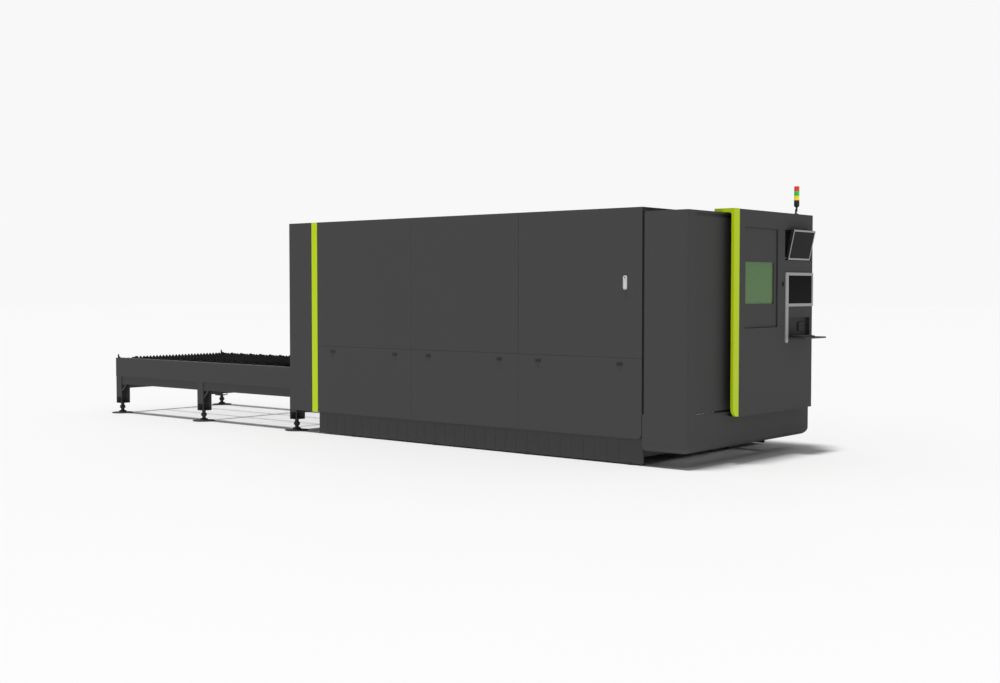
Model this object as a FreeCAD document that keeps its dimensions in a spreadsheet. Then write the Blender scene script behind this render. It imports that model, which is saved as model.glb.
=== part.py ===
import FreeCAD, Part
import os
import re
import Sketcher

# Fiber laser cutting machine with a pallet exchange table, in millimetres.
#
# Working datum, from which every expression below is measured:
#   x = 0 at the operator end of the side cover, +x towards the operator
#   y = 0 at the outer face of the near side cover, +y across the machine
#   z = 0 at the floor
# Each node's own Placement then carries it from the datum to the row frame,
# whose origin is the bottom centre of the whole machine.

SIZES = [
    # enclosure
    ("coverlength", 4314, "length of the side cover"),
    ("enclosurewidth", 2330, "outer face to outer face of the side covers"),
    ("covertop", 2350, "top of the side cover above the floor"),
    ("coverbottom", 242, "bottom edge of the side cover"),
    ("seamheight", 980, "seam between the upper panels and the lower doors"),
    ("pandepth", 20, "depth of a folded cover panel"),
    ("skin", 3, "thickness of the folded sheet"),
    ("gap", 2, "visible gap between two fixed panels"),
    ("doorgap", 3, "gap beside a hinged door"),
    ("doorpan", 16, "depth of a hinged door's pan"),
    ("pivotinset", 6.5, "pivot pin from the edges of its door"),
    ("coverradius", 55, "rounded lower corner of the cover at the operator end"),
    ("panels", 3, "panels along each side"),
    ("portaldepth", 462, "length of the rear portal"),
    ("stripwidth", 90, "width of the lime strip on the portal"),
    ("portalheight", 1000, "height of the pallet opening in the portal"),
    ("portalfar", 1760, "far side of the pallet opening"),
    ("postwidth", 60, "width of a frame post"),
    ("postdepth", 20, "depth of a frame post"),
    ("tubewall", 3, "wall of the frame tubes"),
    ("plinthbottom", 12, "bottom of the base plinth"),
    ("plinthsetback", 25, "distance of the plinth behind the cover's face"),
    ("plinthdepth", 20, "depth of the plinth channel"),
    ("ribpitch", 135, "spacing of the plinth's pressed ribs"),
    ("ribwidth", 6, "width of a pressed rib"),
    # operator end
    ("endlength", 483, "end face of the operator end section"),
    ("endroof", 2310, "top of the operator end roof"),
    ("endstart", 25, "start of the end section, behind the shadow gap"),
    ("cornerreturn", 130, "width of the corner panels on the end face"),
    ("cornerradius", 20, "bend radius of the vertical corners"),
    ("skirttop", 475, "top edge of the skirt"),
    ("skirtbottom", 136, "bottom edge of the skirt"),
    ("skirtradius", 70, "rolled bottom edge of the skirt"),
    ("skirtreturn", 60, "width of the skirt's bottom return"),
    # sliding door
    ("doorwidth", 628, "width of the sliding door"),
    ("doorbottom", 497, "bottom edge of the sliding door"),
    ("doortop", 2262, "top edge of the sliding door"),
    ("doordepth", 36, "thickness of the sliding door"),
    ("doorsetback", 4, "door face behind the end face"),
    ("doorend", 1372, "far side of the doorway"),
    ("trackdepth", 30, "depth of the door's top track"),
    ("sill", 6, "thickness of the steel threshold"),
    # operator module
    ("modulefront", 594, "front face of the operator module"),
    ("modulenear", 704, "near edge of the module's panel"),
    ("modulefar", 2162, "far edge of the module"),
    ("modulebottom", 434, "bottom edge of the module"),
    ("moduletop", 2343, "top of the module"),
    ("trimwidth", 96, "width of the lime trim"),
    ("trimdepth", 31, "depth of the lime trim"),
    ("trimarm", 209, "length of the trim's arm over the roof"),
    ("trimbottom", 438, "bottom end of the trim"),
    ("trimradius", 90, "rounded corner at the trim's foot"),
    # inspection hatch
    ("hatchnear", 806, "near edge of the hatch"),
    ("hatchwidth", 624, "width of the hatch"),
    ("hatchbottom", 1248, "bottom edge of the hatch"),
    ("hatchheight", 929, "height of the hatch"),
    ("hatchdepth", 20, "thickness of the hatch"),
    ("hatchrecess", 12, "hatch face behind the module's face"),
    ("hatchgap", 3, "gap round the hatch"),
    ("pullgap", 13, "finger gap beside the hatch's free edge"),
    ("jamb", 23, "width of the stop behind the hatch"),
    ("windowinset", 31, "near edge of the window from the hatch edge"),
    ("windowmargin", 48, "hatch left beyond the far side of the window"),
    ("windowheight", 394, "height of the laser safety window"),
    ("windowrise", 220, "bottom of the window above the hatch edge"),
    ("windowthick", 6, "thickness of the laser safety window"),
    # console
    ("nichenear", 1583, "near side of the monitor niche"),
    ("nichewidth", 547, "width of the monitor niche"),
    ("nichebottom", 1888, "bottom of the monitor niche"),
    ("nicheheight", 294, "height of the monitor niche"),
    ("nichedepth", 86, "depth of the monitor niche"),
    ("monitornear", 1640, "near edge of the monitor"),
    ("monitorwidth", 450, "width of the monitor"),
    ("monitorheight", 295, "height of the monitor"),
    ("monitorthick", 32, "thickness of the monitor"),
    ("monitortilt", 12.5, "lean of the monitor in degrees"),
    ("bezel", 16, "visible frame round the monitor's screen"),
    ("pivotradius", 6, "radius of the monitor's pivot bar"),
    ("pivotplay", 0.3, "running clearance of every pivot and slide"),
    ("framenear", 1590, "near edge of the screen frame"),
    ("framebottom", 1440, "bottom of the screen frame"),
    ("frametop", 1770, "top of the screen frame"),
    ("framethick", 10, "thickness of the screen frame"),
    ("framebar", 28, "width of the top and bottom bars of the frame"),
    ("framepost", 54, "width of the frame's long post"),
    ("framefoot", 1087, "lower end of the frame's long post"),
    ("shelfnear", 1648, "near side of the keyboard niche"),
    ("shelfwidth", 462, "width of the keyboard niche"),
    ("shelfbottom", 1122, "bottom of the keyboard niche"),
    ("shelfheight", 209, "height of the keyboard niche"),
    ("shelfdepth", 40, "depth of the keyboard niche"),
    ("trayreach", 189, "length of the keyboard tray from its pivot"),
    ("traythick", 15, "thickness of the folded keyboard tray"),
    ("barrel", 8, "radius of the tray's hinge barrel"),
    ("traypin", 4, "radius of the tray's hinge pin"),
    ("keyboardwidth", 255, "width of the keyboard"),
    ("keyboarddepth", 130, "depth of the keyboard"),
    ("keyboardthick", 18, "thickness of the keyboard"),
    ("pendantwidth", 120, "width of the handheld pendant"),
    ("pendantheight", 86, "height of the handheld pendant"),
    ("pendantthick", 16, "thickness of the handheld pendant"),
    # signal tower
    ("towerside", 1872, "signal tower's stub across the machine"),
    ("towerradius", 26, "radius of the signal tower"),
    ("poleradius", 9, "radius of the tower's stub and pole"),
    ("towerpivot", 2381, "height of the tower's folding knuckle"),
    ("towerfoot", 2425, "bottom of the tower's black housing"),
    ("yellowbottom", 2481, "bottom of the yellow lens"),
    ("greenbottom", 2523, "bottom of the green lens"),
    ("redbottom", 2570, "bottom of the red lens"),
    ("towertop", 2621, "top of the signal tower"),
    # doors and locks
    ("latchinset", 243, "latch from the end of its door"),
    ("latchheight", 921, "height of the latches"),
    ("latchwidth", 62, "width of a latch"),
    ("latchtall", 26, "height of a latch"),
    ("latchtravel", 20, "travel of the thumb slides"),
    ("lockinset", 182, "side door lock from the cover's end"),
    ("lockheight", 1668, "centre height of the side door lock"),
    ("locktall", 128, "height of the side door lock"),
    ("lockwidth", 40, "width of the side door lock"),
    ("hingepin", 2, "radius of a concealed pivot pin"),
    ("tab", 3, "thickness of the pivot brackets"),
    # bed
    ("bedpast", 4, "bed beyond the end of the side cover"),
    ("bedright", 300, "right end of the bed from the datum"),
    ("bednear", 45, "outer face of the near bed wall"),
    ("palletnear", 120, "near side of the pallets"),
    ("palletwidth", 1530, "width of a pallet"),
    ("palletplay", 5, "clearance between a pallet and the walls"),
    ("wallbottom", 400, "bottom of the bed walls"),
    ("walltop", 840, "top of the bed walls"),
    ("postinset", 484, "first bed post from the end of the side cover"),
    ("postpitch", 1210, "spacing of the bed posts"),
    ("bedpost", 120, "length of a bed post"),
    ("crosstop", 160, "top of the bed's cross members"),
    ("bedclear", 60, "bed above the floor"),
    # gantry
    ("railwidth", 30, "width of the linear rails"),
    ("railheight", 28, "height of the linear rails"),
    ("gantryat", 650, "rest position of the gantry from the datum"),
    ("beamwidth", 220, "gantry beam along the machine"),
    ("beamheight", 240, "height of the gantry beam"),
    ("beamwall", 8, "wall of the gantry beam"),
    ("carriagelength", 400, "length of an end carriage"),
    ("carriagethick", 30, "thickness of an end carriage plate"),
    ("headroom", 60, "carriage plate above the bed wall"),
    ("headtip", 800, "nozzle tip above the floor at rest"),
    # pallets
    ("palletlength", 3100, "length of a pallet"),
    ("palletheight", 138, "pallet frame's underside to the slat tips"),
    ("upperlevel", 604, "underside of the upper pallet"),
    ("leveldrop", 150, "drop from the upper to the lower level"),
    ("palletinset", 134, "inner pallet from the end of the side cover"),
    ("outerinset", 72, "outer pallet from the table's outer end"),
    ("siderail", 42, "width of a pallet side rail"),
    ("siderailheight", 113, "height of a pallet side rail"),
    ("slatpitch", 200, "spacing of the slats"),
    ("slats", 15, "slats on a pallet"),
    ("slatthick", 4, "thickness of a slat"),
    ("toothpitch", 51, "spacing of the slat teeth"),
    ("toothdepth", 24, "depth of the slat teeth"),
    ("cliplength", 40, "length of a slat clip"),
    ("skidlength", 200, "length of a pallet runner"),
    ("skidheight", 40, "height of a pallet runner"),
    ("trackdrop", 20, "runner track below the pallet's underside"),
    ("trackheight", 66, "height of the runner channel"),
    # exchange table
    ("tablereach", 3436, "table beyond the rear portal"),
    ("tableplay", 2, "clearance between the table beam and the portal cheek"),
    ("beamtop", 718, "top of the table beams"),
    ("beambottom", 478, "bottom of the table beams"),
    ("railbottom", 380, "bottom of the lower beams"),
    ("plate", 8, "plate thickness of the table"),
    ("legwidth", 110, "leg along the machine"),
    ("legdepth", 130, "leg across the machine"),
    ("legbottom", 130, "bottom of the legs"),
    ("legpitch", 1700, "spacing of the legs"),
    ("notchheight", 75, "opening above the leg's bottom plate"),
    ("footinset", 60, "first foot from the table's outer end"),
    ("discradius", 135, "radius of a levelling foot"),
    ("discthick", 8, "thickness of a levelling foot's disc"),
    ("studradius", 22, "radius of a levelling stud"),
    ("spigotradius", 125, "radius of the fume duct's spigot"),
    ("guidetall", 46, "height of the guide posts above the beam"),
]

VALUE = {alias: value for alias, value, note in SIZES}

# sizes worked out from the driving ones, so that pieces that meet stay together
DERIVED = {
    "tableend": "(coverlength+portaldepth+tablereach)",
    "tablenear": "(pandepth+tableplay)",
    "bedleft": "(coverlength+bedpast)",
    "firstpost": "(coverlength-postinset)",
    "innerleft": "(coverlength-palletinset)",
    "windowwidth": "(hatchwidth-windowinset-windowmargin)",
}

# positions that several pieces share, as expressions of the sheet's aliases
PORTAL_REAR = "-(coverlength+portaldepth)"
FAR_FACE = "enclosurewidth"
PANEL = "coverlength/panels"
BED_INNER = "(palletnear-palletplay)"
BED_FAR = "(palletnear+palletwidth+palletplay)"
WALL_WIDTH = "(palletnear-palletplay-bednear)"
TABLE_FAR = "(2*palletnear+palletwidth-tablenear)"
FOOT_NEAR = "(tablenear+legdepth/2-10)"
FOOT_FAR = "(2*palletnear+palletwidth-tablenear-legdepth/2+10)"
DOOR_FACE = "(endlength-doorsetback)"
HATCH_FACE = "(modulefront-hatchrecess)"
BEAM_BOTTOM = "(walltop+headroom+carriagethick)"
MACHINE_LEFT = "(-tableend+footinset-discradius)"
TRAY_PIVOT_X = "(modulefront-barrel)"
TRAY_PIVOT_Z = "(shelfbottom+11)"
MACHINE_RIGHT = f"({TRAY_PIVOT_X}+trayreach)"
MACHINE_NEAR = f"({FOOT_NEAR}-discradius)"

doc = FreeCAD.newDocument("laser_cutting_machine")
sheet = doc.addObject("Spreadsheet::Sheet", "Sheet")
for row, (alias, value, note) in enumerate(SIZES, 1):
    sheet.set(f"A{row}", note)
    sheet.set(f"B{row}", str(value))
    sheet.setAlias(f"B{row}", alias)
doc.recompute()

NODES = []


# ---------------------------------------------------------------- helpers

def formula(text):
    """Turn an expression of bare aliases into one that reads the sheet."""
    driving = re.sub(r"[a-z]+", lambda word: DERIVED.get(word.group(0), word.group(0)), str(text))
    return re.sub(r"[a-z]+", lambda word: "Sheet." + word.group(0), driving)


def number(text):
    """The present value of an expression of aliases."""
    return float(eval_expression(str(text)))


def eval_expression(text):
    """Value of an expression, worked out by the document's own engine."""
    return sheet.evalExpression(formula(text))


def bind(obj, **properties):
    """Bind properties of an object to expressions of the sheet."""
    for name, text in properties.items():
        obj.setExpression(name, formula(text))


def place(obj, x, y, z):
    """Bind an object's position to expressions of the sheet."""
    for axis, text in zip("xyz", (x, y, z)):
        obj.setExpression("Placement.Base." + axis, formula(text))
    return obj


def block(name, size, at):
    """Rectangular block: its size and its lowest corner."""
    box = doc.addObject("Part::Box", name)
    bind(box, Length=size[0], Width=size[1], Height=size[2])
    return place(box, *at)


TURNS = {
    "z": FreeCAD.Rotation(),
    "y": FreeCAD.Rotation(FreeCAD.Vector(1, 0, 0), -90),
    "x": FreeCAD.Rotation(FreeCAD.Vector(0, 1, 0), 90),
}


def rod(name, radius, length, at, along="z"):
    """Round bar from a point, along +x, +y or +z."""
    bar = doc.addObject("Part::Cylinder", name)
    bar.Placement.Rotation = TURNS[along]
    bind(bar, Radius=radius, Height=length)
    return place(bar, *at)


def cone(name, low, high, height, at):
    """Upright cone with its lower and upper radius."""
    body = doc.addObject("Part::Cone", name)
    bind(body, Radius1=low, Radius2=high, Height=height)
    return place(body, *at)


def fuse(name, *pieces):
    """One solid from pieces that touch or overlap."""
    joined = doc.addObject("Part::MultiFuse", name)
    joined.Shapes = list(pieces)
    joined.Refine = True
    return joined


def cut(name, base, *tools):
    """A solid less one or more tools."""
    result = doc.addObject("Part::Cut", name)
    result.Base = base
    result.Tool = tools[0] if len(tools) == 1 else fuse(name + "_tools", *tools)
    return result


def pan(name, size, at, opening, wall="skin"):
    """Folded sheet tray: a block hollowed out towards one side, such as +y."""
    inner_size = [f"({side})-2*{wall}" for side in size]
    inner_at = [f"({corner})+{wall}" for corner in at]
    axis = "xyz".index(opening[1])
    inner_size[axis] = f"({size[axis]})-{wall}"
    if opening[0] == "-":
        inner_at[axis] = at[axis]
    return cut(name, block(name + "_outside", size, at), block(name + "_inside", inner_size, inner_at))


def tube(name, size, at, along, wall="tubewall"):
    """Rectangular tube, open at both ends."""
    axis = "xyz".index(along)
    inner_size = [f"({side})-2*{wall}" for side in size]
    inner_at = [f"({corner})+{wall}" for corner in at]
    inner_size[axis] = size[axis]
    inner_at[axis] = at[axis]
    return cut(name, block(name + "_outside", size, at), block(name + "_bore", inner_size, inner_at))


def plane_of(body, role):
    return [feature for feature in body.Origin.OriginFeatures if feature.Role == role][0]


def sketch_polygon(body, name, role, points):
    """Closed outline whose corners are each bound to the sheet."""
    sketch = body.newObject("Sketcher::SketchObject", name)
    sketch.AttachmentSupport = (plane_of(body, role), [""])
    sketch.MapMode = "FlatFace"
    corners = [FreeCAD.Vector(number(u), number(v), 0) for u, v in points]
    count = len(corners)
    for index in range(count):
        sketch.addGeometry(Part.LineSegment(corners[index], corners[(index + 1) % count]), False)
    for index in range(count):
        sketch.addConstraint(Sketcher.Constraint("Coincident", index, 2, (index + 1) % count, 1))
    for index, (point, corner) in enumerate(zip(points, corners)):
        for kind, text, value in (("DistanceX", point[0], corner.x), ("DistanceY", point[1], corner.y)):
            place_id = sketch.addConstraint(Sketcher.Constraint(kind, -1, 1, index, 1, value))
            label = f"corner{index}{kind[-1]}"
            sketch.renameConstraint(place_id, label)
            sketch.setExpression("Constraints." + label, formula(text))
    return sketch


def extrusion(name, role, points, length, at, radius=None, pick=None):
    """Body padded from an outline, moved to its place, with chosen edges rounded."""
    body = doc.addObject("PartDesign::Body", name)
    body.AllowCompound = True
    pad = body.newObject("PartDesign::Pad", name + "_pad")
    pad.Profile = sketch_polygon(body, name + "_outline", role, points)
    bind(pad, Length=length)
    doc.recompute()
    if radius:
        round_edges(body, pad, name + "_round", radius, pick)
    return place(body, *at)


def round_edges(body, feature, name, radius, pick):
    """PartDesign fillet on the edges of a feature for which pick(edge) is true."""
    names = [f"Edge{index}" for index, edge in enumerate(feature.Shape.Edges, 1) if pick(edge)]
    fillet = body.newObject("PartDesign::Fillet", name)
    fillet.Base = (feature, names)
    bind(fillet, Radius=radius)
    body.Tip = fillet
    doc.recompute()
    return fillet


def turned(name, outline, at):
    """Body turned about a vertical axis from a half outline of (radius, height) points."""
    body = doc.addObject("PartDesign::Body", name)
    body.AllowCompound = True
    spin = body.newObject("PartDesign::Revolution", name + "_spin")
    spin.Profile = sketch_polygon(body, name + "_outline", "XZ_Plane", outline)
    spin.ReferenceAxis = (plane_of(body, "Z_Axis"), [""])
    spin.Angle = 360
    doc.recompute()
    return place(body, *at)


def repeat(body, name, along_x=None, along_y=None):
    """Pattern a whole body: (spacing, count) along x and, if given, along y."""
    for steps, axis in ((along_x, "X_Axis"), (along_y, "Y_Axis")):
        if not steps:
            continue
        pattern = body.newObject("PartDesign::LinearPattern", f"{name}_{axis[0].lower()}")
        pattern.TransformMode = "Whole shape"
        pattern.Direction = (plane_of(body, axis), [""])
        pattern.Mode = "Spacing"
        bind(pattern, Offset=steps[0], Occurrences=steps[1])
        body.Tip = pattern
        doc.recompute()
    return body


def tilted(name, pieces, axis, degrees, at):
    """Pieces drawn about a pivot, leaned over by an angle and moved to the pivot's place."""
    group = doc.addObject("Part::Compound", name)
    group.Links = list(pieces)
    group.Placement.Rotation = FreeCAD.Rotation(FreeCAD.Vector(*axis), number(degrees))
    group.setExpression("Placement.Rotation.Angle", formula(degrees))
    return place(group, *at)


def node(label, *pieces):
    """A named sub-part of the machine: one or more separate solids, in the row frame."""
    group = doc.addObject("Part::Compound", label)
    group.Links = list(pieces)
    group.Label = label
    place(group, f"-({MACHINE_LEFT}+{MACHINE_RIGHT})/2", f"-({MACHINE_NEAR}+{FAR_FACE})/2", "0")
    NODES.append(group)
    return group


# ------------------------------------------------------- bed and its feet

def bed_wall(name, near):
    """Side wall of the bed with the two runner channels cut in its inner face."""
    low_y = "bednear" if near else BED_FAR
    length = "bedleft+bedright"
    wall = block(name, (length, WALL_WIDTH, "walltop-wallbottom"), ("-bedleft", low_y, "wallbottom"))
    depth = f"({WALL_WIDTH}-27)"
    groove_y = f"{BED_INNER}-{depth}" if near else BED_FAR
    tools = []
    for level, rise in (("upper", "upperlevel-trackdrop"), ("lower", "upperlevel-leveldrop-trackdrop")):
        tools.append(block(f"{name}_{level}", (length, depth, "trackheight"), ("-bedleft", groove_y, rise)))
    tools.append(hollow_above(name, low_y, length))
    return cut(name + "_grooved", wall, *tools)


def hollow_above(name, low_y, length):
    """Cavity of the wall's box section, above its upper channel."""
    floor = "upperlevel-trackdrop+trackheight+10"
    size = (length, f"{WALL_WIDTH}-16", f"walltop-10-({floor})")
    return block(name + "_hollow", size, ("-bedleft", f"{low_y}+8", floor))


def bed_frame():
    pieces = [bed_wall("near_wall", True), bed_wall("far_wall", False)]
    for index in range(4):
        x = f"-firstpost+{index}*postpitch"
        for side, y in (("near", "bednear"), ("far", BED_FAR)):
            size = ("bedpost", WALL_WIDTH, "wallbottom-bedclear")
            pieces.append(tube(f"{side}_bed_post_{index}", size, (x, y, "bedclear"), "z", "6"))
        size = ("bedpost-20", f"{BED_FAR}-{BED_INNER}", "crosstop-bedclear")
        pieces.append(tube(f"cross_member_{index}", size, (f"{x}+10", BED_INNER, "bedclear"), "y", "5"))
    for index in range(3):
        x = f"-firstpost+{index}*postpitch+bedpost-10"
        for side, y in (("near", "palletnear+palletwidth*0.2"), ("far", "palletnear+palletwidth*0.8-40")):
            size = ("postpitch-bedpost+20", "40", "40")
            pieces.append(tube(f"{side}_tray_bearer_{index}", size, (x, y, "crosstop-40"), "x"))
    return node("bed_frame", *pieces)


def foot(name, radius, thick, boss, stud, top, at):
    """Levelling foot: disc, boss, ball nut and stud, turned in one outline."""
    return turned(name, [
        ("0", "0"), (radius, "0"), (radius, thick), (boss, f"{thick}+4"), (f"{boss}*0.8", f"{thick}+22"),
        (stud, f"{thick}+30"), (stud, f"{top}*0.45"), (f"{stud}*1.6", f"{top}*0.5"),
        (f"{stud}*1.6", f"{top}*0.72"), (stud, f"{top}*0.78"), (stud, top), ("0", top)], at)


def levelling_feet():
    table = foot("table_foot", "discradius", "discthick", "54", "studradius", "legbottom",
                 ("-tableend+footinset", FOOT_NEAR, "0"))
    repeat(table, "table_feet", ("legpitch", "3"), (f"{FOOT_FAR}-{FOOT_NEAR}", "2"))
    bed = turned("bed_foot", [("0", "0"), ("70", "0"), ("70", "10"), ("34", "12"), ("15", "16"), ("15", "bedclear-8"),
                              ("34", "bedclear-8"), ("34", "bedclear"), ("0", "bedclear")],
                 ("-firstpost+bedpost/2", f"bednear+{WALL_WIDTH}/2", "0"))
    repeat(bed, "bed_feet", ("postpitch", "4"), (f"{BED_FAR}-bednear", "2"))
    return node("levelling_feet", table, bed)


def scrap_trays():
    trays = []
    for index in range(3):
        size = ("postpitch-bedpost-20", "palletwidth-20", "wallbottom-20-crosstop")
        at = (f"-firstpost+bedpost+10+{index}*postpitch", "palletnear+10", "crosstop")
        trays.append(pan(f"scrap_tray_{index}", size, at, "+z"))
    return node("scrap_trays", *trays)


def x_axis_rails():
    pieces = []
    for side, centre, rack in (("near", f"bednear+{WALL_WIDTH}/2", f"{BED_INNER}-18"),
                               ("far", f"{BED_FAR}+{WALL_WIDTH}/2", BED_FAR)):
        size = ("bedleft+bedright-80", "railwidth", "railheight")
        pieces.append(block(f"{side}_x_rail", size, ("-bedleft+40", f"{centre}-railwidth/2", "walltop")))
        pieces.append(block(f"{side}_rack", ("bedleft+bedright-80", "18", "24"), ("-bedleft+40", rack, "walltop")))
    return node("x_axis_rails", *pieces)


# ------------------------------------------------------------ the gantry

def gantry_beam():
    size = ("beamwidth", f"{BED_FAR}+{WALL_WIDTH}-bednear", "beamheight")
    at = ("-gantryat-beamwidth/2", "bednear", BEAM_BOTTOM)
    return node("gantry_beam", tube("beam_section", size, at, "y", "beamwall"))


def end_carriages():
    pieces = []
    for side, low_y in (("near", "bednear"), ("far", BED_FAR)):
        plate = block(f"{side}_carriage_plate", ("carriagelength", WALL_WIDTH, "carriagethick"),
                      ("-gantryat-carriagelength/2", low_y, "walltop+headroom"))
        parts = [plate]
        for end, x in (("rear", "-gantryat-carriagelength/2+10"), ("front", "-gantryat+carriagelength/2-100")):
            parts.append(block(f"{side}_{end}_block", ("90", f"{WALL_WIDTH}-38", "headroom-4"),
                               (x, f"{low_y}+19", "walltop+4")))
        notch = block(f"{side}_rail_notch", ("carriagelength", "railwidth+2*pivotplay", "railheight+pivotplay"),
                      ("-gantryat-carriagelength/2", f"{low_y}+{WALL_WIDTH}/2-railwidth/2-pivotplay", "walltop"))
        pieces.append(cut(f"{side}_carriage", fuse(f"{side}_carriage_body", *parts), notch))
    return node("gantry_end_carriages", *pieces)


def x_drive_motors():
    pieces = []
    for side, gear_y, pinion_y in (("near", f"{BED_INNER}-22", f"{BED_INNER}+26"),
                                   ("far", f"{BED_FAR}-68", f"{BED_FAR}-26")):
        x = "-gantryat+beamwidth/2"
        gearbox = block(f"{side}_gearbox", ("90", "90", "70"), (x, gear_y, BEAM_BOTTOM))
        motor = rod(f"{side}_motor", "38", "150", (f"{x}+45", f"{gear_y}+45", f"{BEAM_BOTTOM}+70"))
        shaft = rod(f"{side}_pinion_shaft", "10", f"{BEAM_BOTTOM}-walltop-2", (f"{x}+45", pinion_y, "walltop+2"))
        pinion = rod(f"{side}_pinion", "25", "22", (f"{x}+45", pinion_y, "walltop+1"))
        pieces.append(fuse(f"{side}_x_drive", gearbox, motor, shaft, pinion))
    return node("x_drive_motors", *pieces)


def y_axis_rails():
    pieces = []
    for level, rise in (("lower", "35"), ("upper", "beamheight-35-23")):
        size = ("16", f"{BED_FAR}-{BED_INNER}-20", "23")
        at = ("-gantryat-beamwidth/2-16", f"{BED_INNER}+10", f"{BEAM_BOTTOM}+{rise}")
        pieces.append(block(f"{level}_y_rail", size, at))
    return node("y_axis_rails", *pieces)


HEAD_Y = "(palletnear+palletwidth/2)"
SADDLE_X = "(-gantryat-beamwidth/2-16-24)"


def cross_carriage():
    parts = [block("saddle_plate", ("14", "220", "beamheight"), (SADDLE_X, f"{HEAD_Y}-110", BEAM_BOTTOM))]
    for level, rise in (("lower", "35"), ("upper", "beamheight-35-23")):
        parts.append(block(f"saddle_{level}_block", ("22", "200", "50"),
                           (f"{SADDLE_X}+14", f"{HEAD_Y}-100", f"{BEAM_BOTTOM}+{rise}-13.5")))
    notches = []
    for level, rise in (("lower", "35"), ("upper", "beamheight-35-23")):
        notches.append(block(f"saddle_{level}_notch", ("17", "240", "23+2*pivotplay"),
                             (f"{SADDLE_X}+24-pivotplay", f"{HEAD_Y}-120", f"{BEAM_BOTTOM}+{rise}-pivotplay")))
    saddle = cut("saddle", fuse("saddle_body", *parts), *notches)
    motor = block("z_motor", ("60", "60", "120"), (f"{SADDLE_X}-30", f"{HEAD_Y}-30", f"{BEAM_BOTTOM}+beamheight+60"))
    shelf = block("z_motor_shelf", ("74", "90", "12"), (f"{SADDLE_X}-60", f"{HEAD_Y}-45", f"{BEAM_BOTTOM}+beamheight+48"))
    arm = block("z_motor_arm", ("14", "90", "48"), (SADDLE_X, f"{HEAD_Y}-45", f"{BEAM_BOTTOM}+beamheight"))
    return node("cross_carriage", fuse("cross_carriage_body", saddle, motor, shelf, arm))


def z_slide():
    size = ("30", "90", "beamheight+20")
    at = (f"{SADDLE_X}-30-pivotplay", f"{HEAD_Y}-45", f"{BEAM_BOTTOM}+20")
    return node("z_slide", block("z_slide_bar", size, at))


def cutting_head():
    x = f"({SADDLE_X}-30-pivotplay-70)"
    body = block("head_body", ("70", "80", "190"), (x, f"{HEAD_Y}-40", "headtip+90"))
    neck = rod("head_collimator", "26", "130", (f"{x}+35", HEAD_Y, "headtip+280"))
    lens = block("head_lens_drawer", ("76", "96", "40"), (f"{x}-6", f"{HEAD_Y}-48", "headtip+140"))
    taper = cone("head_taper", "20", "32", "40", (f"{x}+35", HEAD_Y, "headtip+50"))
    nozzle = cone("nozzle_cone", "3", "14", "50", (f"{x}+35", HEAD_Y, "headtip"))
    bore = rod("nozzle_bore", "1.5", "60", (f"{x}+35", HEAD_Y, "headtip-5"))
    node("cutting_head", fuse("head_assembly", body, neck, lens, taper))
    return node("nozzle", cut("nozzle_drilled", nozzle, bore))


# ----------------------------------------------------------- the pallets

def pallet_frame(name, left, base):
    """Welded pallet frame with its end rails, slat ledges and runners."""
    parts = []
    far = "palletnear+palletwidth-siderail"
    inner_width = "palletwidth-2*siderail"
    for side, y in (("near", "palletnear"), ("far", far)):
        parts.append(block(f"{name}_{side}_rail", ("palletlength", "siderail", "siderailheight"), (left, y, base)))
    for side, y in (("near", "palletnear+siderail"), ("far", f"{far}-20")):
        parts.append(block(f"{name}_{side}_ledge", ("palletlength", "20", "38"), (left, y, base)))
    for end, x in (("left", left), ("right", f"{left}+palletlength-40")):
        parts.append(block(f"{name}_{end}_end", ("40", inner_width, "siderailheight-20"),
                           (x, "palletnear+siderail", base)))
    for index, y in enumerate(("palletwidth/3", "palletwidth*2/3")):
        parts.append(block(f"{name}_bearer_{index}", ("palletlength", "30", "38"),
                           (left, f"palletnear+{y}-15", base)))
    for index in range(3):
        x = f"{left}+60+{index}*(palletlength-skidlength-120)/2"
        for side, y in (("near", "palletnear-40"), ("far", "palletnear+palletwidth")):
            parts.append(block(f"{name}_{side}_runner_{index}", ("skidlength", "40", "skidheight"),
                               (x, y, f"{base}-trackdrop+pivotplay")))
    return fuse(name, *parts)


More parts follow.
